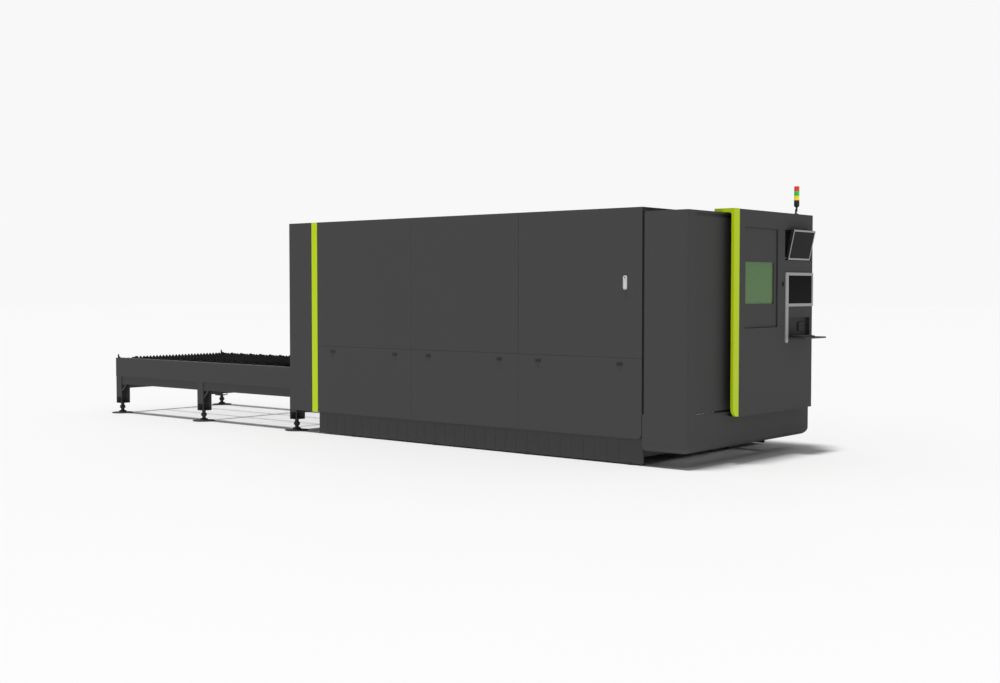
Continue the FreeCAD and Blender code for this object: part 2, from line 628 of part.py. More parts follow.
def slat_bed(name, left, base):
    """Toothed slats across a pallet, each with the clip that hooks over the side rails."""
    span = "(palletwidth-2*siderail-2*pivotplay)"
    tall = "(palletheight-38-pivotplay)"
    body = doc.addObject("PartDesign::Body", name)
    body.AllowCompound = True
    pad = body.newObject("PartDesign::Pad", name + "_blade")
    outline = [("0", "0"), (span, "0"), (span, tall), ("0", tall)]
    pad.Profile = sketch_polygon(body, name + "_blade_outline", "YZ_Plane", outline)
    pad.Midplane = True
    bind(pad, Length="slatthick")
    doc.recompute()
    notch = body.newObject("PartDesign::Pocket", name + "_tooth")
    first = f"({span}-{tooth_count() - 1}*toothpitch)/2"
    vee = [(f"{first}-toothpitch/2+3", f"{tall}+1"), (first, f"{tall}-toothdepth"),
           (f"{first}+toothpitch/2-3", f"{tall}+1")]
    notch.Profile = sketch_polygon(body, name + "_tooth_outline", "YZ_Plane", vee)
    notch.Type = "ThroughAll"
    notch.Midplane = True
    doc.recompute()
    teeth = body.newObject("PartDesign::LinearPattern", name + "_teeth")
    teeth.Originals = [notch]
    teeth.Direction = (plane_of(body, "Y_Axis"), [""])
    teeth.Mode = "Spacing"
    bind(teeth, Offset="toothpitch")
    teeth.Occurrences = tooth_count()
    body.Tip = teeth
    doc.recompute()
    clips = body.newObject("PartDesign::Pad", name + "_clips")
    rise = "(siderailheight-38)"
    low, high = rise, f"{rise}+14"
    reach = "(siderail-6)"
    clips.Profile = sketch_polygon(body, name + "_clip_outline", "YZ_Plane", [
        (f"-{reach}", low), ("6", low), ("6", high), (f"-{reach}", high)])
    clips.Midplane = True
    bind(clips, Length="cliplength")
    doc.recompute()
    far_clips = body.newObject("PartDesign::Pad", name + "_far_clips")
    far_clips.Profile = sketch_polygon(body, name + "_far_clip_outline", "YZ_Plane", [
        (f"{span}-6", low), (f"{span}+{reach}", low), (f"{span}+{reach}", high), (f"{span}-6", high)])
    far_clips.Midplane = True
    bind(far_clips, Length="cliplength")
    body.Tip = far_clips
    doc.recompute()
    repeat(body, name + "_row", ("slatpitch", "slats"))
    start = f"{left}+(palletlength-(slats-1)*slatpitch)/2"
    return place(body, start, "palletnear+siderail+pivotplay", f"{base}+38+pivotplay")


def tooth_count():
    span = number("palletwidth-2*siderail")
    return int(span / number("toothpitch")) - 1


def pallets():
    inner = ("-innerleft", "(upperlevel-leveldrop)")
    outer = ("(-tableend+outerinset)", "upperlevel")
    for side, (left, base) in (("inner", inner), ("outer", outer)):
        node(f"{side}_pallet_frame", pallet_frame(f"{side}_frame", left, base))
        node(f"{side}_pallet_slats", slat_bed(f"{side}_slats", left, base))


# -------------------------------------------------------- exchange table

def table_beam(near):
    """Folded channel beam with the runner track inside, padded along the machine."""
    width = f"({BED_INNER}-tablenear)"
    track = "upperlevel-trackdrop"
    outline = [("0", "beambottom"), (width, "beambottom"), (width, "beambottom+plate"), ("plate", "beambottom+plate"),
               ("plate", f"{track}-plate"), (width, f"{track}-plate"), (width, track), ("plate", track),
               ("plate", "beamtop-plate"), (width, "beamtop-plate"), (width, "beamtop"), ("0", "beamtop")]
    return channel("near_beam" if near else "far_beam", near, outline, "tablenear", "tableend", "0")


def lower_beam(near):
    width = f"({BED_INNER}-tablenear-10)"
    track = "upperlevel-leveldrop-trackdrop"
    outline = [("0", "railbottom"), (width, "railbottom"), (width, "railbottom+plate"), ("plate", "railbottom+plate"),
               ("plate", f"{track}-plate"), (width, f"{track}-plate"), (width, track), ("plate", track),
               ("plate", "beambottom"), ("0", "beambottom")]
    return channel("near_lower_beam" if near else "far_lower_beam", near, outline, "tablenear+10", "tableend", "30")


def channel(name, near, outline, outer_face, left, inset):
    """Outline in y and z, padded along the machine from the table's end to the bed."""
    if not near:
        outline = [(f"-({u})", v) for u, v in outline]
        outer_face = f"2*palletnear+palletwidth-({outer_face})"
    length = f"{left}-{inset}-bedleft"
    return extrusion(name, "YZ_Plane", outline, length, (f"-{left}+{inset}", outer_face, "0"))


def leg(name, x, near):
    """Channel leg open towards the machine, with a bottom plate and a face plate."""
    low_y = "tablenear" if near else f"{TABLE_FAR}-legdepth"
    face_y = "tablenear" if near else f"{TABLE_FAR}-plate"
    shaft = block(name + "_shaft", ("legwidth", "legdepth", "railbottom-legbottom"), (x, low_y, "legbottom"))
    hollow = block(name + "_hollow", ("legwidth", "legdepth-2*plate", "railbottom-legbottom-plate"),
                   (f"{x}+plate", f"{low_y}+plate", "legbottom+plate"))
    notch = block(name + "_notch", ("legwidth-2*plate", "3*plate", "notchheight"),
                  (f"{x}+plate", f"{face_y}-plate", "legbottom+plate"))
    face = block(name + "_face", ("legwidth", "plate", "beambottom-railbottom"), (x, face_y, "railbottom"))
    return fuse(name, cut(name + "_channel", shaft, hollow, notch), face)


def table_frame():
    pieces = [table_beam(True), table_beam(False), lower_beam(True), lower_beam(False)]
    for index in range(3):
        x = f"-tableend+footinset-legwidth/2+{index}*legpitch"
        for side, near in (("near", True), ("far", False)):
            pieces.append(leg(f"{side}_leg_{index}", x, near))
        size = ("60", f"{TABLE_FAR}-tablenear-2*legdepth", "50")
        pieces.append(tube(f"table_tie_{index}", size, (f"{x}+20", "tablenear+legdepth", "railbottom-60"), "y"))
    for index in range(2):
        for side, y in (("near", "tablenear+plate"), ("far", f"{TABLE_FAR}-2*plate")):
            corner = f"-tableend+footinset+legwidth/2+{index}*legpitch"
            outline = [("0", "railbottom"), ("90", "railbottom"), ("90", "railbottom-12"), ("12", "railbottom-90"),
                       ("0", "railbottom-90"), ("0", "railbottom-74"), ("74", "railbottom-8"), ("0", "railbottom-8")]
            brace = [(u, v) for u, v in outline]
            pieces.append(extrusion(f"{side}_brace_{index}", "XZ_Plane", brace, "plate", (corner, f"{y}+plate", "0")))
    return node("table_frame", *pieces, *guide_posts())


def guide_posts():
    pieces = []
    for side, y in (("near", "tablenear+20"), ("far", f"{TABLE_FAR}-32")):
        outline = [("0", "0"), ("46", "0"), ("46", "12"), ("18", "22"), ("14", "guidetall"), ("0", "guidetall")]
        pieces.append(extrusion(f"{side}_guide", "XZ_Plane", outline, "12", ("-tableend+12", f"{y}+12", "beamtop")))
    return pieces


# ------------------------------------------------------- enclosure frame

def panel_left(index):
    return f"-coverlength+{index}*({PANEL})"


def enclosure_frame():
    """Posts, rails and roof bars that carry the covers, with the weld-on hinge parts."""
    pieces = []
    lefts = ["-coverlength", f"{panel_left(1)}-postwidth/2", f"{panel_left(2)}-postwidth/2", "-postwidth"]
    widths = ["postwidth", "postwidth", "postwidth", "postwidth+endstart+7"]
    levels = (("bottom", "coverbottom", "40"), ("middle", "seamheight-postwidth/2", "postwidth"),
              ("top", "covertop-pandepth-40", "40"))
    for side, y in (("near", "pandepth"), ("far", "enclosurewidth-pandepth-postdepth")):
        for index, (left, wide) in enumerate(zip(lefts, widths)):
            size = (wide, "postdepth", "covertop-pandepth-coverbottom")
            pieces.append(tube(f"{side}_post_{index}", size, (left, y, "coverbottom"), "z", "2"))
        for index in range(3):
            start, end = f"({lefts[index]}+{widths[index]})", f"({lefts[index + 1]})"
            for level, rise, tall in levels:
                size = (f"{end}-{start}", "postdepth", tall)
                pieces.append(tube(f"{side}_{level}_rail_{index}", size, (start, y, rise), "x", "2"))
    for index, left in enumerate(lefts):
        size = ("postwidth", "enclosurewidth-2*pandepth-2*postdepth", "40")
        pieces.append(tube(f"roof_bar_{index}", size, (left, "pandepth+postdepth", "covertop-pandepth-40"), "y", "2"))
    return pieces


def rib_count():
    """Ribs that fit between the plinth's ends, one pitch in from each."""
    return int((VALUE["coverlength"] - VALUE["ribpitch"]) // VALUE["ribpitch"])


def base_plinths():
    """Base plinths with evenly spaced pressed ribs in their outer faces."""
    pieces = []
    height = "coverbottom-plinthbottom"
    for side, y, opening in (("near", "plinthsetback", "+y"),
                             ("far", "enclosurewidth-plinthsetback-plinthdepth", "-y")):
        size = ("coverlength", "plinthdepth", height)
        face = pan(f"{side}_plinth", size, ("-coverlength", y, "plinthbottom"), opening)
        groove_y = "plinthsetback-1" if side == "near" else "enclosurewidth-plinthsetback-1.5"
        grooves = [block(f"{side}_groove_{index}", ("ribwidth", "2.5", f"{height}-30"),
                         (f"-coverlength+{index}*ribpitch-ribwidth/2", groove_y, "plinthbottom+6"))
                   for index in range(1, rib_count() + 1)]
        pieces.append(cut(f"{side}_ribbed_plinth", face, *grooves))
    return node("base_plinths", *pieces)


# ---------------------------------------------------------- side covers

def upper_panel(name, index, y, opening):
    size = (f"{PANEL}-gap", "pandepth", "covertop-seamheight-gap/2")
    return pan(name, size, (f"{panel_left(index)}+gap/2", y, "seamheight+gap/2"), opening)


def lower_panel(name, index, y, opening):
    size = (f"{PANEL}-gap", "pandepth", "seamheight-coverbottom-gap/2")
    return pan(name, size, (f"{panel_left(index)}+gap/2", y, "coverbottom"), opening)


def near_upper_panels():
    return node("near_upper_panels", *[upper_panel(f"near_upper_{index}", index, "0", "+y") for index in range(2)])


def far_panels():
    y = "enclosurewidth-pandepth"
    uppers = [upper_panel(f"far_upper_{index}", index, y, "-y") for index in range(3)]
    lowers = [lower_panel(f"far_lower_{index}", index, y, "-y") for index in range(3)]
    return node("far_panels", *uppers, *lowers)


def roof_panels():
    pieces = []
    for index in range(3):
        size = (f"{PANEL}-gap", "enclosurewidth-2*pandepth-gap", "pandepth")
        at = (f"{panel_left(index)}+gap/2", "pandepth+gap/2", "covertop-pandepth")
        pieces.append(pan(f"roof_panel_{index}", size, at, "-z"))
    return node("roof_panels", *pieces)


def side_door(frame_pieces):
    """Hinged upper panel at the operator end, on pivots hidden behind its own edge."""
    left = f"({panel_left(2)}+doorgap-gap/2)"
    low, high = "(seamheight+gap/2)", "covertop"
    size = (f"{PANEL}-doorgap", "doorpan", f"{high}-{low}")
    leaf = pan("side_door_pan", size, (left, "0", low), "+y")
    pivot_x, pivot_y = f"({left}+pivotinset)", "pivotinset"
    cuts = []
    for end, tab_z, pin_z, reach, flange_z in (
            ("low", f"{low}+skin+6", low, "skin+6", low),
            ("high", "covertop-pandepth-10", "covertop-pandepth-10+tab", "pandepth+10-tab", f"{high}-skin")):
        bracket = block(f"side_{end}_bracket", ("10", f"pandepth-{pivot_y}+2", "tab"),
                        (f"{pivot_x}-2", f"{pivot_y}-2", tab_z))
        pin = rod(f"side_{end}_pin", "hingepin", reach, (pivot_x, pivot_y, pin_z))
        frame_pieces.append(fuse(f"side_{end}_pivot", bracket, pin))
        cuts.append(block(f"side_{end}_notch", ("pivotinset", "doorpan", "tab+10"),
                          (f"{left}-1", f"{pivot_y}-3", f"{tab_z}-5")))
        cuts.append(rod(f"side_{end}_bore", "hingepin+pivotplay", "skin+2", (pivot_x, pivot_y, f"{flange_z}-1")))
    return node("side_door", cut("side_door_leaf", leaf, *cuts))


def side_door_lock():
    """Swing-handle lock: a light escutcheon with a dish, and a lever pinned at its top."""
    x, z = "(-lockinset-lockwidth/2)", "(lockheight-locktall/2)"
    plate = doc.addObject("PartDesign::Body", "lock_plate")
    pad = plate.newObject("PartDesign::Pad", "lock_plate_pad")
    pad.Profile = sketch_polygon(plate, "lock_plate_outline", "XZ_Plane", [
        ("0", "0"), ("lockwidth", "0"), ("lockwidth", "locktall"), ("0", "locktall")])
    bind(pad, Length="10")
    doc.recompute()
    round_edges(plate, pad, "lock_plate_round", "lockwidth*0.45",
                lambda edge: abs(edge.BoundBox.YLength - 10) < 0.1)
    place(plate, x, "0", z)
    dish = block("lock_dish", ("lockwidth-14", "8", "locktall-36"), (f"{x}+7", "-10", f"{z}+6"))
    barrel = rod("lock_barrel", "8", "3", ("-lockinset", "-12", "lockheight+locktall/2-16"), "y")
    pivot_z = f"{z}+locktall-36"
    pin = rod("lever_pin", "2", "lockwidth-14", (f"{x}+7", "-6", pivot_z), "x")
    node("side_door_escutcheon", fuse("lock_escutcheon", cut("lock_dished", plate, dish), barrel, pin))
    bar = block("lever_bar", ("lockwidth-18", "6.5", "locktall-44"), (f"{x}+9", "-9", f"{z}+9"))
    bore = rod("lever_bore", "2+pivotplay/3", "lockwidth", (x, "-6", pivot_z), "x")
    eye = rod("lever_eye", "3.5", "lockwidth-18", (f"{x}+9", "-6", pivot_z), "x")
    return node("side_door_handle", cut("lever", fuse("lever_body", bar, eye), bore))


def lower_doors(frame_pieces):
    """Three access doors that fold down on pivots hidden behind their lower corners."""
    for index, label in enumerate(("left", "middle", "right")):
        left = f"({panel_left(index)}+gap/2)"
        wide, tall = f"({PANEL}-gap)", "(seamheight-coverbottom-gap/2-2)"
        base = "(coverbottom+2)"
        slab = block(f"{label}_door_slab", (wide, "doorpan", tall), (left, "0", base))
        inside = block(f"{label}_door_inside", (f"{wide}-2*skin", "doorpan", f"{tall}-2*skin"),
                       (f"{left}+skin", "skin", f"{base}+skin"))
        if label == "right":
            slab = rounded_corner("right_door_corner", slab, VALUE["coverradius"])
            inside = rounded_corner("right_inside_corner", inside, VALUE["coverradius"] - VALUE["skin"])
        leaf = cut(f"{label}_door_pan", slab, inside)
        pivot_y, pivot_z = "pivotinset", f"({base}+pivotinset)"
        cuts = []
        for end, tab_x, pin_x in (("rear", f"{left}+skin+6", left),
                                  ("front", f"{left}+{wide}-skin-6-tab-{clip(label)}",
                                   f"{left}+{wide}-skin-6-{clip(label)}")):
            bracket = block(f"{label}_{end}_bracket", ("tab", f"pandepth-{pivot_y}+2", "10"),
                            (tab_x, f"{pivot_y}-2", f"{pivot_z}-2"))
            pin = rod(f"{label}_{end}_pin", "hingepin", "skin+6", (pin_x, pivot_y, pivot_z), "x")
            pieces = [bracket, pin]
            if end == "front" and label == "right":
                eye = block("right_door_eye", ("skin", "doorpan-skin", "24"),
                            (f"{left}+{wide}-skin-{clip(label)}", "skin", base))
                leaf = fuse("right_door_with_eye", leaf, eye)
            frame_pieces.append(fuse(f"{label}_{end}_pivot", *pieces))
            cuts.append(block(f"{label}_{end}_notch", ("tab+10", "doorpan", "pivotinset"),
                              (f"{tab_x}-5", f"{pivot_y}-3", f"{base}-1")))
            cuts.append(rod(f"{label}_{end}_bore", "hingepin+pivotplay", "skin+20", (f"{pin_x}-10", pivot_y, pivot_z),
                            "x"))
        for end, x in zip(("rear", "front"), latch_ends(index)):
            cuts.append(block(f"{label}_{end}_slot", ("10+2*pivotplay+latchtravel", "skin+2", "8+2*pivotplay"),
                              (f"{x}-5-pivotplay", "-1", "latchheight-4-pivotplay")))
        node(f"{label}_lower_door", cut(f"{label}_door_leaf", leaf, *cuts))


def clip(label):
    """Distance by which the rounded corner moves the right door's front pivot inwards."""
    return "coverradius" if label == "right" else "0"


def rounded_corner(name, base, radius):
    """Round the lower corner at +x of an upright slab, seen from the side."""
    doc.recompute()
    box = base.Shape.BoundBox
    rounded = doc.addObject("Part::Fillet", name)
    rounded.Base = base
    rounded.Edges = [(index, radius, radius) for index, edge in enumerate(base.Shape.Edges, 1)
                     if edge.BoundBox.YLength > 5 and edge.BoundBox.XMin > box.XMax - 0.1
                     and edge.BoundBox.ZMax < box.ZMin + 0.1]
    return rounded


def latch_ends(index):
    """Centres of the two latches of a lower door."""
    return f"({panel_left(index)}+latchinset)", f"({panel_left(index + 1)}-latchinset)"


def door_latches():
    """Two thumb slides on each door, joined through slots by a locking bar behind the sheet."""
    for index, label in enumerate(("left", "middle", "right")):
        rear, front = latch_ends(index)
        pieces = [block(f"{label}_lock_bar", (f"{front}-{rear}+24", "5", "14"), (f"{rear}-12", "skin+1", "latchheight-7"))]
        for end, x in (("rear", rear), ("front", front)):
            pieces.append(block(f"{label}_{end}_latch", ("latchwidth", "6", "latchtall"),
                                (f"{x}-latchwidth/2", "-6-pivotplay", "latchheight-latchtall/2")))
            pieces.append(block(f"{label}_{end}_latch_stem", ("10", "skin+3", "8"),
                                (f"{x}-5", "-1", "latchheight-4")))
        node(f"{label}_door_latches", fuse(f"{label}_latch_set", *pieces))


# --------------------------------------------------------- rear portal

def rear_portal():
    height = "covertop-coverbottom"
    cheek = ("portaldepth-stripwidth-gap", "pandepth", height)
    far_y = "enclosurewidth-pandepth"
    near_cheek = pan("portal_near", cheek, (PORTAL_REAR, "0", "coverbottom"), "+y")
    far_cheek = pan("portal_far", cheek, (PORTAL_REAR, far_y, "coverbottom"), "-y")
    width = "enclosurewidth-2*pandepth"
    header = pan("portal_header", ("pandepth", width, "covertop-pandepth-portalheight"),
                 (PORTAL_REAR, "pandepth", "portalheight"), "+x")
    top = pan("portal_top", ("portaldepth-stripwidth", width, "pandepth"), (PORTAL_REAR, "pandepth", "covertop-pandepth"), "-z")
    infill = pan("portal_infill", ("pandepth", "enclosurewidth-pandepth-portalfar", "portalheight-coverbottom"),
                 (PORTAL_REAR, "portalfar", "coverbottom"), "+x")
    hole = rod("infill_hole", "spigotradius+1", "60", (f"{PORTAL_REAR}-20", SPIGOT_Y, SPIGOT_Z), "x")
    return node("rear_portal", near_cheek, far_cheek, header, top, cut("infill_drilled", infill, hole))


SPIGOT_Y = "(portalfar+280)"
SPIGOT_Z = "620"


def portal_strips():
    size = ("stripwidth", "pandepth", "covertop-coverbottom")
    x = "-coverlength-stripwidth"
    near = pan("near_strip", size, (x, "0", "coverbottom"), "+y")
    far = pan("far_strip", size, (x, "enclosurewidth-pandepth", "coverbottom"), "-y")
    top = pan("top_strip", ("stripwidth", "enclosurewidth-2*pandepth", "pandepth"),
              (x, "pandepth", "covertop-pandepth"), "-z")
    return node("portal_strips", near, far, top)


# ------------------------------------------------------- operator end

def corner_panel(name, near):
    """Bent corner panel: a side face and a return on the end face."""
    size = ("endlength-endstart", "cornerreturn", "endroof-pandepth-skirttop")
    body = doc.addObject("PartDesign::Body", name)
    pad = body.newObject("PartDesign::Pad", name + "_pad")
    wide, deep = size[0], size[1]
    far = "-" if not near else ""
    outline = [("0", "0"), (wide, "0"), (wide, f"{far}({deep})"), ("0", f"{far}({deep})")]
    pad.Profile = sketch_polygon(body, name + "_outline", "XY_Plane", outline)
    bind(pad, Length=size[2])
    doc.recompute()
    edge_x = number(wide)
    round_edges(body, pad, name + "_bend", "cornerradius",
                lambda edge: edge.BoundBox.ZLength > 100 and abs(edge.BoundBox.XMin - edge_x) < 0.1
                and abs(edge.BoundBox.YMax) < 0.1 and abs(edge.BoundBox.YMin) < 0.1)
    place(body, "endstart", "0" if near else "enclosurewidth", "skirttop")
    inner_y = "skin" if near else "enclosurewidth-cornerreturn"
    inner = block(name + "_inside", (f"{wide}-skin", f"{deep}-skin", size[2]), ("endstart", inner_y, "skirttop"))
    rounded = doc.addObject("Part::Fillet", name + "_inside_bend")
    rounded.Base = inner
    doc.recompute()
    inner_edge = number("endlength-skin")
    corner_y = number("skin") if near else number("enclosurewidth-skin")
    radius = number("cornerradius-skin")
    rounded.Edges = [(index, radius, radius) for index, edge in enumerate(inner.Shape.Edges, 1)
                     if edge.BoundBox.ZLength > 100 and abs(edge.BoundBox.XMin - inner_edge) < 0.1
                     and abs(edge.BoundBox.YMin - corner_y) < 0.1]
    return cut(name + "_panel", body, rounded)


def front_end_shell():
    near = corner_panel("near_corner", True)
    far = corner_panel("far_corner", False)
    end = pan("end_panel", ("pandepth", "enclosurewidth-cornerreturn-doorend", "endroof-pandepth-skirttop"),
              ("endlength-pandepth", "doorend", "skirttop"), "-x")
    roof = pan("end_roof", ("endlength-endstart-7", "enclosurewidth", "pandepth"),
               ("endstart+7", "0", "endroof-pandepth"), "-z")
    return node("front_end_shell", near, far, end, roof)


def front_skirt():
    """Tub-shaped skirt with rolled lower edges and an inward bottom return."""
    wide = "(endlength-5)"
    body = block("skirt_outside", (wide, "enclosurewidth", "skirttop-skirtbottom"), ("5", "0", "skirtbottom"))
    rolled = rolled_block("skirt_rolled", body, VALUE["skirtradius"], VALUE["cornerradius"])
    inner = block("skirt_inside", (f"{wide}-skin", "enclosurewidth-2*skin", "skirttop-skirtbottom"),
                  ("5", "skin", "skirtbottom+skin"))
    hollow = rolled_block("skirt_hollow", inner, VALUE["skirtradius"] - VALUE["skin"],
                          VALUE["cornerradius"] - VALUE["skin"])
    hole = block("skirt_floor_hole", (f"{wide}-skirtradius-skirtreturn", "enclosurewidth-2*skirtradius-2*skirtreturn",
                                      "80"), ("5", "skirtradius+skirtreturn", "skirtbottom-20"))
    return node("front_skirt", cut("skirt", rolled, hollow, hole))


def rolled_block(name, base, roll, bend):
    """Block with rolled lower edges on three sides and bent upright corners at +x."""
    doc.recompute()
    shape = base.Shape
    right, low = shape.BoundBox.XMax, shape.BoundBox.ZMin
    chosen = []
    for index, edge in enumerate(shape.Edges, 1):
        box = edge.BoundBox
        if box.ZLength > 50 and abs(box.XMin - right) < 0.1:
            chosen.append((index, bend, bend))
        elif box.ZMax < low + 0.1 and box.XMax > right - 0.1:
            chosen.append((index, roll, roll))
    rounded = doc.addObject("Part::Fillet", name)
    rounded.Base = base
    rounded.Edges = chosen
    return rounded


def sliding_door():
    size = ("doordepth", "doorwidth", "doortop-doorbottom")
    at = (f"{DOOR_FACE}-doordepth", "cornerreturn+2", "doorbottom")
    slot = block("door_guide_slot", ("4+2*pivotplay", "doorwidth+2", "8+skin/2"),
                 (f"{DOOR_FACE}-doordepth/2-2-pivotplay", "cornerreturn+1", "doorbottom-1"))
    return node("sliding_door", cut("door_slotted", pan("door_leaf", size, at, "-x"), slot))


def sliding_door_tracks():
    length = "doorend-cornerreturn-6"
    x = f"{DOOR_FACE}-doordepth/2"
    top = tube("top_track", ("trackdepth", length, "endroof-skin-doortop-pivotplay"),
               (f"{x}-trackdepth/2", "cornerreturn+2", "doortop+pivotplay"), "y", "3")
    sill = block("threshold", (f"doordepth+8", length, "sill"), ("endlength-doordepth-8", "cornerreturn+2", "skirttop"))
    fin = block("guide_fin", ("4", length, "doorbottom-skirttop-sill+6"), (f"{x}-2", "cornerreturn+2", "skirttop+sill"))
    return node("sliding_door_tracks", top, fuse("sill_track", sill, fin))


# ------------------------------------------------------ operator module

def module_shell():
    """Bent front panel of the operator module with its openings."""
    depth = "modulefront-endlength"
    height = "moduletop-modulebottom"
    outside = block("module_outside", (depth, "modulefar-modulenear", height), ("endlength", "modulenear", "modulebottom"))
    inside = block("module_inside", (f"{depth}-skin", "modulefar-modulenear-2*skin", f"{height}-2*skin"),
                   ("endlength", "modulenear+skin", "modulebottom+skin"))
    slot = block("module_door_slot", (f"{depth}-trimdepth", "2*skin", f"{height}-2*skin"),
                 ("endlength", "modulenear-skin/2", "modulebottom+skin"))
    through = ("skin*3", "modulefront-skin*2")
    hatch = block("hatch_opening", (through[0], "hatchwidth+hatchgap+pullgap", "hatchheight+2*hatchgap"),
                  (through[1], "hatchnear-hatchgap", "hatchbottom-hatchgap"))
    niche = block("niche_opening", (through[0], "nichewidth", "nicheheight"), (through[1], "nichenear", "nichebottom"))
    shelf = block("shelf_opening", (through[0], "shelfwidth", "shelfheight"), (through[1], "shelfnear", "shelfbottom"))
    return node("module_shell", cut("module_panel", outside, inside, slot, hatch, niche, shelf))


def recess(name, near, low, wide, tall, deep):
    """Folded tub behind an opening of the module's panel."""
    size = (f"({deep})-skin", f"({wide})+2*skin", f"({tall})+2*skin")
    at = (f"modulefront-({deep})", f"({near})-skin", f"({low})-skin")
    return pan(name, size, at, "+x")


def module_recesses(hinge_parts):
    deep = "hatchrecess+hatchdepth+2+skin"
    tub = recess("hatch_surround_tub", "hatchnear-hatchgap", "hatchbottom-hatchgap",
                 "hatchwidth+hatchgap+pullgap", "hatchheight+2*hatchgap", deep)
    hole = block("hatch_daylight", ("20", "hatchwidth-2*jamb", "hatchheight-2*jamb"),
                 (f"modulefront-({deep})-10", "hatchnear+jamb", "hatchbottom+jamb"))
    niche = recess("monitor_niche", "nichenear", "nichebottom", "nichewidth", "nicheheight", "nichedepth")
    shelf = recess("keyboard_niche", "shelfnear", "shelfbottom", "shelfwidth", "shelfheight", "shelfdepth+skin")
    return node("module_recesses", cut("hatch_surround", tub, hole), niche, shelf, *hinge_parts)


def module_trim():
    """Lime trim: a bent strip up the module's edge and back over the roof."""
    top = "(moduletop+2)"
    arm = "(trimarm-trimdepth)"
    outline = [("0", "trimbottom"), ("trimdepth", "trimbottom"), ("trimdepth", top), (f"-{arm}", top),
               (f"-{arm}", "endroof"), ("0", "endroof")]
    body = doc.addObject("PartDesign::Body", "trim_body")
    pad = body.newObject("PartDesign::Pad", "trim_pad")
    pad.Profile = sketch_polygon(body, "trim_outline", "XZ_Plane", outline)
    pad.Reversed = True
    bind(pad, Length="trimwidth")
    doc.recompute()
    low = number("trimbottom")
    foot_round = round_edges(body, pad, "trim_foot", "trimradius",
                             lambda edge: edge.BoundBox.XLength > 5 and edge.BoundBox.ZMax < low + 0.1
                             and edge.BoundBox.YMax < 0.1)
    edge_x = number("trimdepth")
    round_edges(body, foot_round, "trim_edges", "6",
                lambda edge: abs(edge.BoundBox.XMin - edge_x) < 0.1 and abs(edge.BoundBox.XMax - edge_x) < 0.1
                and edge.BoundBox.ZLength > 500 and edge.BoundBox.YMax < 0.1)
    place(body, "modulefront-trimdepth", "modulenear-trimwidth", "0")
    return node("module_trim", body)


def viewing_hatch():
    """Recessed hatch on two hinges, with the opening for its window."""
    x = f"{HATCH_FACE}-hatchdepth"
    leaf = block("hatch_leaf", ("hatchdepth", "hatchwidth", "hatchheight"), (x, "hatchnear", "hatchbottom"))
    window = block("hatch_window_opening", ("hatchdepth+10", "windowwidth", "windowheight"),
                   (f"{x}-5", "hatchnear+windowinset", "hatchbottom+windowrise"))
    rebate = block("hatch_window_rebate", ("windowthick+2", "windowwidth+16", "windowheight+16"),
                   (x, "hatchnear+windowinset-8", "hatchbottom+windowrise-8"))
    hollow = [block("hatch_low_hollow", ("hatchdepth-skin", "hatchwidth-2*skin-20", "windowrise-30"),
                    (x, "hatchnear+skin+20", "hatchbottom+skin")),
              block("hatch_high_hollow", ("hatchdepth-skin", "hatchwidth-2*skin-20",
                                          "hatchheight-windowrise-windowheight-30-skin"),
                    (x, "hatchnear+skin+20", "hatchbottom+windowrise+windowheight+30"))]
    fixed_parts, bores = [], []
    pivot = (f"{HATCH_FACE}-pivotinset", "hatchnear+pivotinset")
    for end, z in (("low", "hatchbottom-hatchgap-1"), ("high", "hatchbottom+hatchheight-9")):
        fixed_parts.append(rod(f"hatch_{end}_pin", "hingepin", "10+hatchgap", (*pivot, z)))
        bores.append(rod(f"hatch_{end}_bore", "hingepin+pivotplay", "14+hatchgap", (*pivot, f"{z}-2")))
    shaped = cut("hatch_shaped", leaf, window, rebate, *hollow, *bores)
    node("viewing_hatch", shaped)
    size = ("windowthick", "windowwidth+16-2*pivotplay", "windowheight+16-2*pivotplay")
    node("laser_window", block("window_pane", size, (f"{x}+2", "hatchnear+windowinset-8+pivotplay",
                                                     "hatchbottom+windowrise-8+pivotplay")))
    return fixed_parts


def hatch_lock():
    y, z = "(hatchnear+hatchwidth+110)", "1657"
    rose = rod("lock_rose", "14", "6", ("modulefront", y, z), "x")
    wing = block("lock_wing", ("8", "10", "44"), ("modulefront+6", f"{y}-5", f"{z}-22"))
    return node("hatch_lock", fuse("hatch_lock_knob", rose, wing))


# -------------------------------------------------------------- console

def screen_frame():
    """Light frame round the operator screen, with its long near post."""
    wide = "(modulefar-framenear)"
    body = doc.addObject("PartDesign::Body", "screen_frame_body")
    pad = body.newObject("PartDesign::Pad", "screen_frame_pad")
    pad.Profile = sketch_polygon(body, "screen_frame_outline", "YZ_Plane", [
        ("0", "framefoot"), ("framepost", "framefoot"), ("framepost", "framebottom"), (wide, "framebottom"),
        (wide, "frametop"), ("0", "frametop")])
    bind(pad, Length="framethick")
    doc.recompute()
    low = number("framefoot")
    round_edges(body, pad, "screen_frame_foot", "framepost/2-1",
                lambda edge: edge.BoundBox.XLength > 5 and edge.BoundBox.ZMax < low + 0.1)
    place(body, "modulefront", "framenear", "0")
    window = block("screen_opening", ("framethick*3", f"{wide}-framepost-framebar", "frametop-framebottom-2*framebar"),
                   ("modulefront-framethick", "framenear+framepost", "framebottom+framebar"))
    node("screen_frame", cut("screen_frame_cut", body, window))
    size = ("framethick-4", f"{wide}-framepost-framebar", "frametop-framebottom-2*framebar")
    return node("operator_screen", block("screen_panel", size, ("modulefront", "framenear+framepost",
                                                                "framebottom+framebar")))


MONITOR_PIVOT = ("(modulefront-14)", "0", "(nichebottom+22)")


